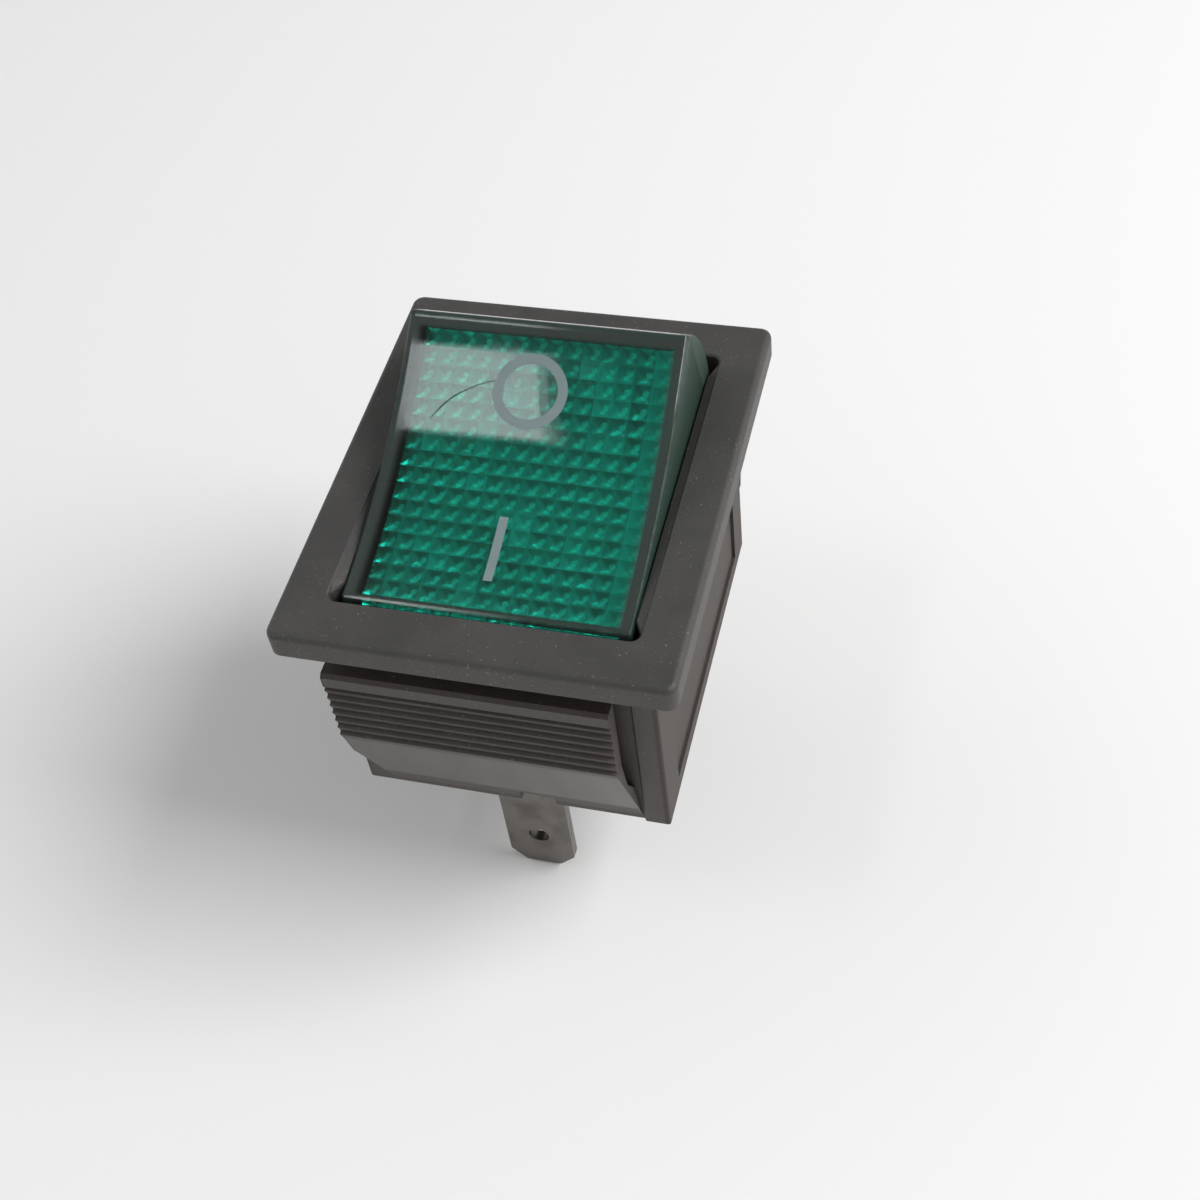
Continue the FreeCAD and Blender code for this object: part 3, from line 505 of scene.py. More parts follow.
# %% [markdown]
# ## Lamp parts
#
# The neon bulb is clear glass, the resistor is dipped in a tan lacquer with coloured bands,
# and a milky sleeve keeps one lead from touching the other. The bands are rings along the
# resistor's axis, so they read the place along that axis and need no texture map.

# %% Bulb glass, resistor and sleeve
bulb_glass = Finish("bulb_glass", Base_Color=(0.93, 0.96, 0.95, 1), Roughness=0.03, IOR=1.47)
bulb_glass.set(Transmission_Weight=1.0)
sleeve_finish = moulded("clear_sleeve", (0.62, 0.60, 0.54, 1), (0.72, 0.70, 0.64, 1), 0.45, 0.004, 0.9)

TILT = math.radians(21)
PIVOT = Vector((0, 0, -0.9)) * MM


def in_rocker(finish):
    """Object coordinates turned back to the rocker's level place, in millimetres."""
    shifted = finish.node("ShaderNodeMapping", (), {"Vector": finish.place(), "Location": tuple(-PIVOT)})
    return place_in_mm(finish, shifted, -TILT)


BAND_HALF = 0.26
BANDS = ((-1.9, (0.30, 0.09, 0.05, 1)), (-0.8, (0.02, 0.02, 0.02, 1)),
         (0.3, (0.55, 0.22, 0.02, 1)), (2.1, (0.55, 0.42, 0.12, 1)))
resistor_finish = Finish("resistor_body", Roughness=0.35, Coat_Weight=0.4)
along = in_rocker(resistor_finish)[1]
colour = (0.62, 0.47, 0.29, 1)
for middle, band in BANDS:
    colour = resistor_finish.blend(abs(along - middle).below(BAND_HALF, 0.03), colour, band)
resistor_finish.set(Base_Color=colour)

# %% [markdown]
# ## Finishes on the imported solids
#
# Each solid keeps its shape and gets one finish. The lens isn't listed, because a finer lens
# replaces it in the picture, and that one brings its own two finishes.

# %% One finish for each solid
FINISHES = {
    "housing": black_plastic, "rocker_carrier": inner_plastic,
    "plunger": nylon, "plunger_spring": steel, "contact_bar": copper,
    "moving_contact_rivet": silver, "fixed_contact_rivet": silver, "common_terminal": tin,
    "load_terminal": tin, "lamp_terminal": tin, "neon_bulb": bulb_glass, "lamp_resistor": resistor_finish,
    "lamp_lead_front": wire_tin, "lamp_lead_cross": wire_tin, "lead_sleeve": sleeve_finish,
    "resistor_lead": wire_tin, "lamp_spring_front": steel, "lamp_spring_rear": steel,
}
for name, finish in FINISHES.items():
    slots = nodes[name].data.materials
    slots.clear()
    slots.append(finish.material)
print(len(FINISHES), "solids have a finish")

# %% [markdown]
# ## Green lens
#
# The rocker's cap is clear green plastic, polished outside, with rows of little pyramids
# moulded under its top. Their slanted faces turn light back up, which is why an unlit lens
# still glows, and why a face that happens to let the look through is dark: behind it is only
# the black carrier. So the cap is a real solid with the plastic's refractive index, and on the
# pyramids' faces painted glints and painted shade add to what the solid refracts. Its hollow
# is cut by a second solid whose top carries the pyramids. They are laid by Geometry Nodes from
# a row and a column number at every point, with the slightly blunt tips and edges that a
# moulding tool leaves.

# %% Sizes of the lens, level and in millimetres from the pivot
LENS_HALF_WIDTH = 9.15
LENS_INNER_HALF = 8.2
LENS_RADIUS = 11.75
LENS_INNER_RADIUS = 10.75
LENS_TOP = 1.4
SAG_RADIUS = 36.15
SAG_CENTRE = 41.30
RIM_HEIGHT = -2.04
EDGE_ROUND = 0.20
PRISM_COLUMNS = 14
PRISM_ROWS = 16
PRISM_HALF_WIDTH = 8.3
PRISM_HALF_LENGTH = 8.937
PRISM_HALF_TURN = math.asin(PRISM_HALF_LENGTH / SAG_RADIUS)
PRISM_HEIGHT = 0.65
PRISM_PITCH = 2 * PRISM_HALF_WIDTH / PRISM_COLUMNS
POINTS_PER_PRISM = 10
END_STEPS = 16
print("prism pitch", round(PRISM_PITCH, 3), "mm")

# %% [markdown]
# ### Outlines of the lens
#
# Seen from the side, the cap is an arc about the pivot at each end and a hollow arc between
# them. One function gives that outline for the outside and for the inside, and another sweeps
# an outline over the width to a closed solid.

# %% Outlines and swept solids
def end_corner(end_radius, sag):
    """Where the hollow top's arc meets an end arc."""
    up = (SAG_CENTRE ** 2 + end_radius ** 2 - sag ** 2) / (2 * SAG_CENTRE)
    return math.sqrt(end_radius ** 2 - up ** 2), up


def side_outline(end_radius, sag, top_steps):
    """Points (y, z) from the rim at -y over the top to the rim at +y."""
    y, z = end_corner(end_radius, sag)
    low = math.asin(RIM_HEIGHT / end_radius)
    high = math.atan2(z, y)
    climb = [low + (high - low) * n / END_STEPS for n in range(END_STEPS)]
    end = [(end_radius * math.cos(a), end_radius * math.sin(a)) for a in climb]
    swing = math.asin(y / sag)
    top = [swing * (2 * n / top_steps - 1) for n in range(top_steps + 1)]
    middle = [(sag * math.sin(a), SAG_CENTRE - sag * math.cos(a)) for a in top]
    return [(-y, z) for y, z in end] + middle + end[::-1]


def skin(outline, xs, floor=None):
    """A closed solid: the outline swept over xs, its two sides filled."""
    mesh = bmesh.new()
    points = outline if floor is None else [(outline[0][0], floor)] + outline + [(outline[-1][0], floor)]
    rows = [[mesh.verts.new((x, y, z)) for y, z in points] for x in xs]
    for before, after in zip(rows, rows[1:]):
        for n in range(len(points)):
            m = (n + 1) % len(points)
            mesh.faces.new((before[n], before[m], after[m], after[n]))
    mesh.faces.new(rows[0])
    mesh.faces.new(rows[-1])
    bmesh.ops.recalc_face_normals(mesh, faces=mesh.faces)
    return mesh


def plain(mesh, name):
    """Mesh data of that name from a bmesh, which is then freed."""
    data = bpy.data.meshes.new(name)
    mesh.to_mesh(data)
    mesh.free()
    return data

# %% [markdown]
# ### Clear green plastic
#
# Two finishes share one refractive index and one colour, which light takes up on its way
# through. Polish is never perfect, so soft smudges in the roughness break up the mirror image
# of the window. The masks in the next cells read the place as if the rocker lay level, in
# millimetres from its pivot, because that is how the lens is dimensioned.

# %% Clear green plastic
CLEAR_GREEN = (0.003, 0.70, 0.47, 1)
LENS_INDEX = 1.5


def clear_plastic(name):
    """Clear green plastic with a few smudges."""
    finish = Finish(name, Base_Color=CLEAR_GREEN, IOR=LENS_INDEX, Transmission_Weight=1.0)
    smudge = finish.noise(240, detail=4)
    return finish.set(Roughness=0.015 + 0.07 * smudge.above(0.55, 0.2))

# %% [markdown]
# ### The outside: border, and painted shade and highlights on the edges
#
# The outside is clear over the pyramids and slightly milky over the plain border and the skirt;
# over the skirt the milky layer is nearly opaque, partly painted light. Its long edges are rounded,
# and their rounds carry painted shade, a dark matt colour, apart from thin pale lines of painted highlight.

# %% Milky border and a skirt of partly painted light
MILKY = 0.70
MILKY_OVER_PRISMS = 0.04
MILKY_END = 0.35
MILKY_AND_LIT_SIDE = 0.9
LONG_EDGE = 9.76
green_lens = clear_plastic("green_lens")
x, y, z = in_rocker(green_lens)
under_top = z + (SAG_RADIUS ** 2 - y * y) ** 0.5
over_prisms = abs(x).below(PRISM_HALF_WIDTH, 0.3) * y.above(-9.5, 0.15) * y.below(8.9, 0.2)
at_end = abs(y).above(9.9, 0.1) * z.above(4.9, 0.3) * abs(x).below(8.45, 0.1)
at_side = abs(x).above(9.05, 0.05) + abs(y).above(9.95, 0.05) * (1 - at_end)
veil = MILKY - (MILKY - MILKY_OVER_PRISMS) * over_prisms - (MILKY - MILKY_END) * at_end
# Partly painted light: the skirt is made nearly opaque and milky, standing for room light on the side
# walls.
veil = veil + (MILKY_AND_LIT_SIDE - MILKY) * at_side
milky = green_lens.blend(at_side, (0.056, 0.071, 0.065, 1), (0.031, 0.057, 0.044, 1))

# %% Painted highlights and painted shade along the edges
flicker = green_lens.noise(1800, detail=2).above(0.45, 0.12)
# Painted highlights: thin pale lines along the front, side and high edges stand in for light caught by the
# rounds.
front_highlight = abs(y + LONG_EDGE).below(0.055, 0.03) * z.above(6.2, 0.05)
front_highlight = front_highlight * (0.3 + 0.7 * x.below(-2.5, 3.5))
side_highlight = abs(abs(x) - LENS_HALF_WIDTH).below(0.10, 0.03) * under_top.above(SAG_CENTRE - 0.10, 0.03)
high_side_highlight = abs(x - 8.97).below(0.035, 0.015) * under_top.above(SAG_CENTRE - 0.12, 0.04) * y.above(4.8, 1.2)
front_round = abs(y + LONG_EDGE).below(0.22, 0.05) * z.above(6.0, 0.2) * x.above(0.0, 4.0)
back_round = abs(y - LONG_EDGE).below(0.22, 0.05) * z.above(6.0, 0.2)
side_round = abs(x).above(8.93, 0.03) * under_top.above(SAG_CENTRE - 0.28, 0.05) * y.below(7.0, 2.5)
# Painted shade: the rounds of the long edges get a dark colour and a dim, matt surface, so they catch
# little of the room's light.
shaded_rounds = either(either(side_round, front_round), back_round) * (0.95 - 0.2 * flicker) * (1 - high_side_highlight)
painted_highlight = (front_highlight + 0.06 * side_highlight * flicker + 0.9 * high_side_highlight) * (0.8 + 0.2 * flicker)
milky = green_lens.blend(painted_highlight, milky, (0.42, 0.43, 0.41, 1))
green_lens.over(either(veil, painted_highlight), Base_Color=milky, Roughness=0.09 + 0.25 * at_side,
                IOR=LENS_INDEX, Specular_IOR_Level=0.4)
green_lens.over(shaded_rounds, Base_Color=(0.030, 0.048, 0.041, 1), Roughness=0.5,
                IOR=LENS_INDEX, Specular_IOR_Level=0.1)

# %% [markdown]
# ### The inside: faces of the pyramids
#
# The pyramids' own faces are part mirror and part matt. Light that scatters on them gives the
# even green ground. Painted on them is a bright glint beside the middle of each cell, a painted
# highlight where a blunt tip would catch the light. The face towards the raised end lets the look
# through to the black carrier, and painted shade darkens it more; the cells of the last column get
# painted light, and those at the left edge painted shade. No two tips of the mould are alike:
# white noise on the cell's numbers moves and stretches each painted glint a little.

# %% Place within a cell, and chance for each cell
prism_face = clear_plastic("prism_face")
x, y, z = in_rocker(prism_face)
column = (x + PRISM_HALF_WIDTH) / PRISM_PITCH
row = (y.math("ARCTAN2", SAG_CENTRE - z) / PRISM_HALF_TURN + 1) * (PRISM_ROWS / 2)
across = 2 * column.math("FRACT") - 1
along = 2 * row.math("FRACT") - 1
cell = prism_face.node("ShaderNodeCombineXYZ", (), {"X": column.math("FLOOR"), "Y": row.math("FLOOR")})
chance = prism_face.node("ShaderNodeTexWhiteNoise", {"noise_dimensions": "3D"}, {"Vector": cell})
other_chance = (chance * 7.3).math("FRACT")
patches = prism_face.node("ShaderNodeTexNoise", (), {"Vector": cell, "Scale": 0.33, "Detail": 1})
in_field = abs(x).below(PRISM_HALF_WIDTH, 0.02) * abs(row - PRISM_ROWS / 2).below(PRISM_ROWS / 2, 0.05)

# %% Painted glints beside the middle of each cell
GLINT_PLAY = 0.14
moved_across = across + GLINT_PLAY * (chance - 0.5)
moved_along = along + GLINT_PLAY * (other_chance - 0.5)
grown = 0.85 + 0.3 * other_chance


def painted_glint(middle_across, middle_along, length, width):
    """A painted glint: a soft bright spot in every cell, drawn out along the diagonal and a little
    different in each.
    """
    a = moved_across - middle_across
    b = moved_along - middle_along
    lean = (a + b) / (length * grown)
    side = (a - b) / width
    return (lean * lean + side * side).below(1.0, 0.45)


sparkle = prism_face.noise(5200, detail=2).above(0.5, 0.10)
# Painted highlight: each glint is a bright white matt spot drawn on the pyramids' faces.
wide = either(painted_glint(0.10, -0.44, 0.54, 0.54), painted_glint(0.38, 0.06, 0.66, 0.64))
core = either(painted_glint(0.06, -0.42, 0.36, 0.36), painted_glint(0.36, 0.04, 0.38, 0.34))
painted_glints = either(wide * (0.68 + 0.22 * sparkle), core * (0.85 + 0.15 * sparkle))

# %% Matt ground of the pyramids, with painted light and shade
cloud = prism_face.noise(170, detail=2)
# Painted shade: the face towards the raised end is drawn darker in many cells, where the look passes to the
# black carrier.
shaded_face = (along - abs(across)).above(0.12, 0.08) * chance.above(0.35, 0.15)
bright_cell = (patches + 0.10 * chance).above(0.66, 0.02)
# Painted light: the last column is drawn lighter, as light gathers at the lens's edge there.
lit_last_column = column.above(PRISM_COLUMNS - 1, 0.03)
line = either(abs(across), abs(along)).above(0.9, 0.05)
# Painted shade: the ground is drawn darker towards the left edge, where the lens lies in shade.
left_edge_shade = x.above(-7.75, 0.45)
ground = 0.48 + 0.10 * bright_cell + 0.07 * line - 0.02 * shaded_face + 0.34 * (cloud - 0.5)
ground = (ground + 0.22 * lit_last_column) * (0.35 + 0.65 * left_edge_shade)
matt = either(ground, painted_glints) * in_field
shade = prism_face.blend(shaded_face, (0.60, 0.60, 0.60, 1), (0.53, 0.53, 0.53, 1))
shade = prism_face.blend(bright_cell, shade, (0.80, 0.80, 0.80, 1))
shade = prism_face.blend(lit_last_column, shade, (0.92, 0.92, 0.92, 1))
prism_face.over(matt, Base_Color=prism_face.blend(painted_glints, shade, (1, 1, 1, 1)), Roughness=0.5)

# %% [markdown]
# ### The outer form
#
# The long edges are rounded, by about the thickness of two sheets of paper, so that the
# rocker feels soft. A bevel along the side edges and the two ends of the hollow top models
# the rounds; the bright line along them is a painted highlight, and the rest of each round
# carries painted shade. The rim, out of sight, stays sharp.

# %% The outer form with its rounded edges
TOUCHING = 0.01
outer = skin(side_outline(LENS_RADIUS, SAG_RADIUS, 40),
             [side * LENS_HALF_WIDTH for side in (-1, -0.955, 0, 0.955, 1)])
corner_y, corner_z = end_corner(LENS_RADIUS, SAG_RADIUS)


def is_round(edge):
    """Whether an edge runs along a side of the lens or an end of its top."""
    a, b = (vertex.co for vertex in edge.verts)
    if max(a.z, b.z) < RIM_HEIGHT + TOUCHING:
        return False
    on_side = abs(a.x - b.x) < TOUCHING and abs(abs(a.x) - LENS_HALF_WIDTH) < TOUCHING
    on_corner = all(abs(abs(p.y) - corner_y) < TOUCHING and abs(p.z - corner_z) < TOUCHING for p in (a, b))
    return on_side or on_corner


round_edges = [edge for edge in outer.edges if is_round(edge)]
bmesh.ops.bevel(outer, geom=round_edges, offset=EDGE_ROUND, segments=4, profile=0.5, affect="EDGES")
print("lens outside:", len(outer.faces), "faces,", len(round_edges), "edges rounded")

# %% [markdown]
# ### The pyramids
#
# The cutter for the hollow is a fine grid whose points know their column and row. Within a
# cell both numbers give how far the point is from the middle, from 0 to 1. A high power mean
# of the two makes the four-sided form, and a small constant blunts its tip.

# %% Prism field by Geometry Nodes
prisms = Shape("prism_field", Columns=PRISM_COLUMNS, Rows=PRISM_ROWS, Height=PRISM_HEIGHT, Sharpness=9.0,
               Blunt=0.09, Centre=SAG_CENTRE)


def from_middle(label, count):
    """0 in the middle of a cell and 1 at its border, from the number that a point carries."""
    number = prisms.node("GeometryNodeInputNamedAttribute", {"data_type": "FLOAT"}, {"Name": label})
    within = number.math("FRACT")
    return abs(2 * within - 1), number.math("GREATER_THAN", 0.0) * number.math("LESS_THAN", count)


column, in_columns = from_middle("column", prisms.given("Columns"))
row, in_rows = from_middle("row", prisms.given("Rows"))
sharp = prisms.given("Sharpness")
reach = (column ** sharp + row ** sharp) ** (1 / sharp)
blunt = prisms.given("Blunt")
slope = 1 + blunt - (reach * reach + blunt * blunt) ** 0.5
pit = either(slope, 0.0) * in_columns * in_rows * prisms.given("Height")
place = prisms.node("GeometryNodeInputPosition")
centre = prisms.node("ShaderNodeCombineXYZ", (), {"X": prisms.axes(place)[0], "Z": prisms.given("Centre")})
outward = prisms.node("ShaderNodeVectorMath", {"operation": "SUBTRACT"}, {0: place, 1: centre})
outward = prisms.node("ShaderNodeVectorMath", {"operation": "NORMALIZE"}, {0: outward})
offset = prisms.node("ShaderNodeVectorMath", {"operation": "SCALE"}, {0: outward, "Scale": pit})
moved = prisms.node("GeometryNodeSetPosition", (), {"Geometry": prisms.given("Geometry"), "Offset": offset})
prisms.end(moved, prism_face)

# %% The hollow as a fine grid
def hollow_grid():
    """The hollow of the lens as a fine solid whose points carry a column and a row number."""
    sag = SAG_RADIUS + LENS_TOP
    steps = int(2 * LENS_INNER_HALF / PRISM_PITCH * POINTS_PER_PRISM)
    xs = [LENS_INNER_HALF * (2 * n / steps - 1) for n in range(steps + 1)]
    low = side_outline(LENS_INNER_RADIUS, sag, PRISM_ROWS * POINTS_PER_PRISM + 8)
    mesh = skin(low, xs, RIM_HEIGHT - 3)
    columns = mesh.verts.layers.float.new("column")
    rows = mesh.verts.layers.float.new("row")
    corner = end_corner(LENS_INNER_RADIUS, sag)[1]
    for vertex in mesh.verts:
        x, y, z = vertex.co
        turn = math.asin(max(-1, min(1, y / sag)))
        on_arc = abs(math.hypot(y, z - SAG_CENTRE) - sag) < 0.001 and z < corner + 0.001
        vertex[columns] = (x + PRISM_HALF_WIDTH) / PRISM_PITCH if on_arc else -1
        vertex[rows] = (turn / PRISM_HALF_TURN + 1) / 2 * PRISM_ROWS if on_arc else -1
    return plain(mesh, "hollow")

# %% [markdown]
# ### The hollow and the notches
#
# A core in the mould keeps the hollow free, and the Boolean cut does the same here, so the
# walls between the outer and the inner form get their true thickness. A second cut makes the
# round notch in each side wall that goes over the carrier's trunnion.

# %% Cutting the hollow and the notches
def cut(base, tool):
    """The base mesh with the tool taken out of it."""
    body = link(bpy.data.objects.new("cut_body", base))
    knife = link(bpy.data.objects.new("cut_tool", tool))
    modifier = body.modifiers.new("cut", "BOOLEAN")
    modifier.operation = "DIFFERENCE"
    modifier.solver = "EXACT"
    modifier.material_mode = "TRANSFER"
    modifier.object = knife
    result = baked(body)
    bpy.data.objects.remove(body)
    bpy.data.objects.remove(knife)
    return result


outer_data = plain(outer, "lens_outer")
outer_data.materials.append(green_lens.material)
lens_data = cut(outer_data, prisms.run(hollow_grid()))

NOTCH_RADIUS = 1.4
turns = [math.pi * n / 16 for n in range(17)]
arch = [(NOTCH_RADIUS * math.cos(turn), NOTCH_RADIUS * math.sin(turn)) for turn in turns]
notch = skin([(NOTCH_RADIUS, RIM_HEIGHT - 2)] + arch + [(-NOTCH_RADIUS, RIM_HEIGHT - 2)], (-12, 12))
lens_data = cut(lens_data, plain(notch, "notch"))


def settle(data):
    """Level millimetres to the rocker's pressed place in metres."""
    data.transform(Matrix.Translation(PIVOT) @ Matrix.Rotation(TILT, 4, "X") @ Matrix.Scale(MM, 4))
    data.update()


settle(lens_data)
for face in lens_data.polygons:
    face.use_smooth = True
lens_data.set_sharp_from_angle(angle=math.radians(40))
lens = link(bpy.data.objects.new("lens", lens_data))
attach(lens, "rocker")
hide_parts("rocker_lens")
print("lens:", len(lens_data.polygons), "faces")

# %% [markdown]
# ## Springs
#
# Two soft springs stand on pads of the terminals and carry the current up to the lamp in the
# rocker, and a third one pushes the plunger down onto the contact bar. Each is steel wire wound
# on a mandrel, with its end turns closed so that it stands flat. Geometry Nodes wind all three
# from a few numbers: a spiral that is crowded at its ends and whose turns lean, little by
# little, from the lower seat to the upper one. A lamp spring reaches from the housing to the
# rocker in its pressed place, and the plunger's spring stands on the plunger's head.

# %% Coils by Geometry Nodes
CROWDED = 0.7
SEAT_PLAY = 0.02
SPRING_WIRE = 0.3


def coil(name, turns, radius, height, sideways=0.0, lean=0.0):
    """A coil from the origin to (0, sideways, height) in millimetres, its last turn leaned over."""
    shape = Shape(name, Turns=float(turns), Radius=radius, Wire=SPRING_WIRE / 2, Height=height,
                  Sideways=sideways, Lean=lean, Crowded=CROWDED)
    winding = {"Resolution": 20, "Rotations": shape.given("Turns"), "Start Radius": shape.given("Radius"),
               "End Radius": shape.given("Radius"), "Height": 0.0}
    spiral = shape.node("GeometryNodeCurveSpiral", (), winding)
    share = shape.node("GeometryNodeSplineParameter")
    circle = 2 * math.pi
    rise = share - shape.given("Crowded") * (share * circle).math("SINE") / circle
    flat = shape.node("GeometryNodeInputPosition")
    leaned = shape.node("ShaderNodeVectorRotate", {"rotation_type": "X_AXIS"},
                        {"Vector": flat, "Angle": rise * shape.given("Lean")})
    climb = shape.node("ShaderNodeCombineXYZ", (), {"Y": rise * shape.given("Sideways"),
                                                    "Z": rise * shape.given("Height")})
    place = shape.node("ShaderNodeVectorMath", {"operation": "ADD"}, {0: leaned, 1: climb})
    wound = shape.node("GeometryNodeSetPosition", (), {"Geometry": spiral, "Position": place})
    section = shape.node("GeometryNodeCurvePrimitiveCircle", (),
                         {"Resolution": 8, "Radius": shape.given("Wire")})
    wire = shape.node("GeometryNodeCurveToMesh", (),
                      {"Curve": wound, "Profile Curve": section, "Fill Caps": True})
    shape.end(wire, steel)
    return outward(shape.run(bpy.data.meshes.new("nothing")))


def outward(data):
    """The mesh with all its faces turned outwards and shaded smooth."""
    mesh = bmesh.new()
    mesh.from_mesh(data)
    bmesh.ops.recalc_face_normals(mesh, faces=mesh.faces)
    mesh.to_mesh(data)
    mesh.free()
    for face in data.polygons:
        face.use_smooth = len(face.vertices) == 4
    return data

# %% [markdown]
# ### The two lamp springs
#
# Each one stands on the pad of a terminal and ends under a cradle of the carrier, a play of
# 0.02 mm away from both. It is wound for the pressed rocker: its top leans with the rocker, and
# the turns between share the lean.

# %% The two lamp springs
LAMP_SPRING_RADIUS = 0.8
LAMP_FEET = {"front": Vector((5.2, -7.1, -11.887)), "rear": Vector((-5.2, 7.1, -11.887))}
LAMP_TOPS = {"front": Vector((5.2, -5.302, -5.506)), "rear": Vector((-5.2, 7.022, -0.775))}
TURNS = {"front": 4, "rear": 6}
end_room = SPRING_WIRE / 2 + SEAT_PLAY
rocker_up = Vector((0, -math.sin(TILT), math.cos(TILT)))
for end in ("front", "rear"):
    foot = LAMP_FEET[end] + Vector((0, 0, end_room))
    top = LAMP_TOPS[end] - rocker_up * end_room
    data = coil("lamp_coil_" + end, TURNS[end], LAMP_SPRING_RADIUS, (top - foot).z, (top - foot).y, TILT)
    data.transform(Matrix.Scale(MM, 4) @ Matrix.Translation(foot))
    piece = link(bpy.data.objects.new("lamp_coil_" + end, data))
    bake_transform(piece)
    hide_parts("lamp_spring_" + end)
    print(piece.name, "is", round((top - foot).length, 2), "mm long")

# %% [markdown]
# ### Electrodes in the bulb
#
# A neon bulb glows around two parallel wires that stand a little apart in the gas. They show
# through the glass, so they are drawn: each is a smooth line through a few points, given a
# round section. The same function draws the scratch on the lens further down.

# %% Electrodes in the bulb
def drawn(name, lines, radius, resolution, finish):
    """A mesh of smooth round lines, each through points given as a place and its share of the radius."""
    curve = bpy.data.curves.new(name, "CURVE")
    curve.dimensions = "3D"
    curve.bevel_depth = radius
    curve.bevel_resolution = resolution
    curve.use_fill_caps = True
    for line in lines:
        spline = curve.splines.new("NURBS")
        spline.points.add(len(line) - 1)
        for point, (place, share) in zip(spline.points, line):
            point.co = (*place, 1)
            point.radius = share
        spline.order_u = 3
        spline.use_endpoint_u = True
    carrier = link(bpy.data.objects.new(name + "_curve", curve))
    data = baked(carrier)
    bpy.data.objects.remove(carrier)
    data.materials.clear()
    data.materials.append(finish.material)
    return data


BULB_X = 5.3
BULB_HEIGHT = 0.36
ELECTRODE_HALF_GAP = 0.55
ELECTRODE_RADIUS = 0.24
ELECTRODE = ((0.9, -4.6), (1.0, -3.2), (1.25, -1.8), (1.25, 1.6))
lines = [[((BULB_X + side * ELECTRODE_HALF_GAP * spread, y, BULB_HEIGHT), 1) for spread, y in ELECTRODE]
         for side in (-1, 1)]
data = drawn("electrodes", lines, ELECTRODE_RADIUS, 3, wire_tin)
settle(data)
electrodes = link(bpy.data.objects.new("electrodes", data))
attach(electrodes, "rocker")
print("electrodes:", len(data.polygons), "faces")

# %% [markdown]
# ### The plunger's spring
#
# It stands on the plunger's head and pushes against the top of the tube in the carrier. Both
# ends ride with the rocker.

# %% The plunger's spring
PLUNGER_SPRING_RADIUS = 1.1
HEAD = -2.6
CAP = 1.1
length = CAP - HEAD - 2 * end_room
data = coil("plunger_coil", 4, PLUNGER_SPRING_RADIUS, length)
data.transform(Matrix.Translation((0, 0, HEAD + end_room)))
settle(data)
piece = link(bpy.data.objects.new("plunger_coil", data))
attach(piece, "rocker")
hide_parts("plunger_spring")
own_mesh(piece)
print(piece.name, "is", round(length, 2), "mm long")

# %% [markdown]
# ## Printed marks
#
# A ring at one end and a bar at the other are pad printed on the lens in pale ink. Ink has
# almost no thickness, so each mark is a very thin plate that follows the hollow top, made as
# a grid of small faces whose corners are set on the top's arc.

# %% Plates on the hollow top
INK_TOP = 0.02
INK_FOOT = 0.002


def on_top(x, y, lift):
    """A point on the rocker's hollow top in its pressed place, from its level x and y in mm."""
    radius = SAG_RADIUS - lift
    z = SAG_CENTRE - math.sqrt(radius ** 2 - y ** 2)
    turned = Matrix.Rotation(TILT, 3, "X") @ Vector((x, y, z))
    return turned * MM + PIVOT


def piece_from(mesh, name, finish):
    """A bmesh as an object of that name, its normals outwards."""
    bmesh.ops.recalc_face_normals(mesh, faces=mesh.faces)
    data = plain(mesh, name)
    data.materials.append(finish.material)
    return link(bpy.data.objects.new(name, data))


def thin_plate(name, rows, finish, closed=False):
    """A thin plate over rows of (x, y) points, its sides closed."""
    mesh = bmesh.new()
    top, low = [[[mesh.verts.new(on_top(x, y, height)) for x, y in row] for row in rows]
                for height in (INK_TOP, INK_FOOT)]
    count = len(rows)
    last = len(rows[0]) - 1
    for n in range(count if closed else count - 1):
        m = (n + 1) % count
        for k in range(last):
            mesh.faces.new((top[n][k], top[n][k + 1], top[m][k + 1], top[m][k]))
            mesh.faces.new((low[n][k], low[m][k], low[m][k + 1], low[n][k + 1]))
        for k in (0, last):
            mesh.faces.new((top[n][k], top[m][k], low[m][k], low[n][k]))
    if not closed:
        for n in (0, count - 1):
            for k in range(last):
                mesh.faces.new((top[n][k], top[n][k + 1], low[n][k + 1], low[n][k]))
    return piece_from(mesh, name, finish)

# %% Ring and bar in pale ink
RING_STEPS = 72
RING_X, RING_Y = -0.4, 5.36
RING_RADII = (1.80, 2.12, 2.44)
BAR_X, BAR_START = -0.38, -3.02
BAR_HALF = 0.29
BAR_STEPS = 10
BAR_STEP = 0.444
ink = Finish("pale_ink", Roughness=0.55)
ink_cloud = ink.noise(700, detail=3)
ink.set(Base_Color=ink.blend(ink_cloud, (0.17, 0.225, 0.23, 1), (0.215, 0.275, 0.28, 1)))

turns = [2 * math.pi * n / RING_STEPS for n in range(RING_STEPS)]
ring = [[(RING_X + r * math.cos(a), RING_Y + r * math.sin(a)) for r in RING_RADII] for a in turns]
off_mark = thin_plate("off_mark", ring, ink, closed=True)
bar = [[(BAR_X + aside, BAR_START - BAR_STEP * n) for aside in (-BAR_HALF, 0, BAR_HALF)]
       for n in range(BAR_STEPS + 1)]
on_mark = thin_plate("on_mark", bar, ink)
for mark in (off_mark, on_mark):
    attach(mark, "rocker")
    print(mark.name, len(mark.data.polygons), "faces")

# %% [markdown]
# ## Lips beside the rocker
#
# The gap at the rocker's sides isn't a straight drop. A sloped lip on each side of the opening
# comes close to the rocker and keeps fingers and dust out, and it ends before the corners. The
# ends of the opening have none, because the rocker's round ends swing past them.

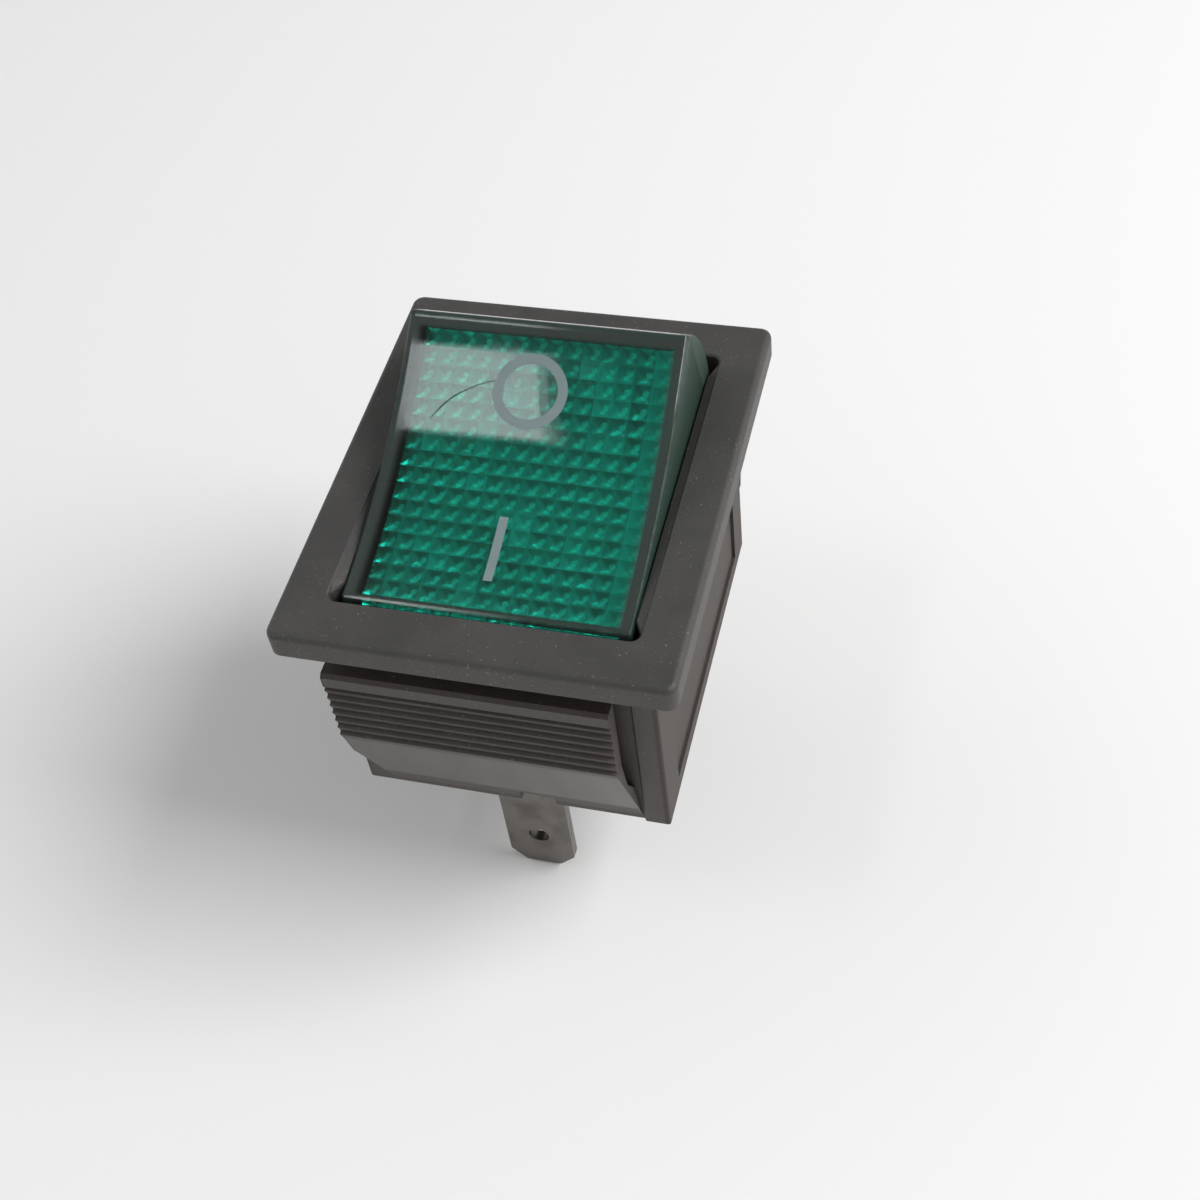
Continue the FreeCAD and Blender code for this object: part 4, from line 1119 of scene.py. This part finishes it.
# %% Two sloped lips on the housing
OPENING_HALF = 9.8
LIP_CLEARANCE = 0.09
LIP_REACH = 11.4
LIP_TAPER = 0.35
LIP_ROOT = 0.15
LIP_STEPS = 24
LIP_FOOT = 0.25
LIP_EDGE = 1.68
LIP_TOP = 2.03


def lip(side):
    """One lip as a bar with a sloped top, its two ends tapered."""
    inner = LENS_HALF_WIDTH + LIP_CLEARANCE
    outer = OPENING_HALF + 0.05
    mesh = bmesh.new()
    rings = []
    for n in range(LIP_STEPS + 1):
        y = LIP_REACH * (2 * n / LIP_STEPS - 1)
        reach = min(1.0, (LIP_REACH - abs(y)) / LIP_TAPER + LIP_ROOT)
        edge = outer - (outer - inner) * reach
        points = [(outer, LIP_FOOT), (edge, LIP_FOOT), (edge, LIP_EDGE), (edge + 0.06, LIP_EDGE + 0.10),
                  (outer - 0.03, LIP_TOP - 0.01), (outer, LIP_TOP)]
        rings.append([mesh.verts.new((side * a * MM, y * MM, b * MM)) for a, b in points])
    for before, after in zip(rings, rings[1:]):
        for k in range(len(before)):
            m = (k + 1) % len(before)
            mesh.faces.new((before[k], before[m], after[m], after[k]))
    mesh.faces.new(rings[0])
    mesh.faces.new(rings[-1])
    return piece_from(mesh, "lip_right" if side > 0 else "lip_left", black_plastic)


for side in (-1, 1):
    piece = lip(side)
    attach(piece, "base")
    print(piece.name, len(piece.data.polygons), "faces")

# %% [markdown]
# ## A scratch
#
# One long curved scratch crosses the lens beside the ring. It is drawn as a thin smooth line
# through six points on the hollow top, thicker where the tool dug deeper.

# %% Scratch on the hollow top
SCRATCH = ((-6.6, 2.98, 0.3), (-6.0, 3.9, 1.0), (-5.25, 4.66, 0.8), (-4.35, 5.21, 0.5), (-3.6, 5.6, 0.9),
           (-2.68, 5.91, 0.2))
SCRATCH_LIFT = 0.01
SCRATCH_RADIUS = 0.05
scratch_finish = Finish("scratch", Roughness=0.5)
scratch_cloud = scratch_finish.noise(1500, detail=2)
scratch_colour = scratch_finish.blend(scratch_cloud, (0.03, 0.07, 0.055, 1), (0.07, 0.13, 0.11, 1))
scratch_finish.set(Base_Color=scratch_colour)
line = [(on_top(x, y, SCRATCH_LIFT), share) for x, y, share in SCRATCH]
scratch_data = drawn("scratch", [line], SCRATCH_RADIUS * MM, 1, scratch_finish)
scratch = link(bpy.data.objects.new("scratch", scratch_data))
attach(scratch, "rocker")
print("scratch:", len(scratch_data.polygons), "faces")
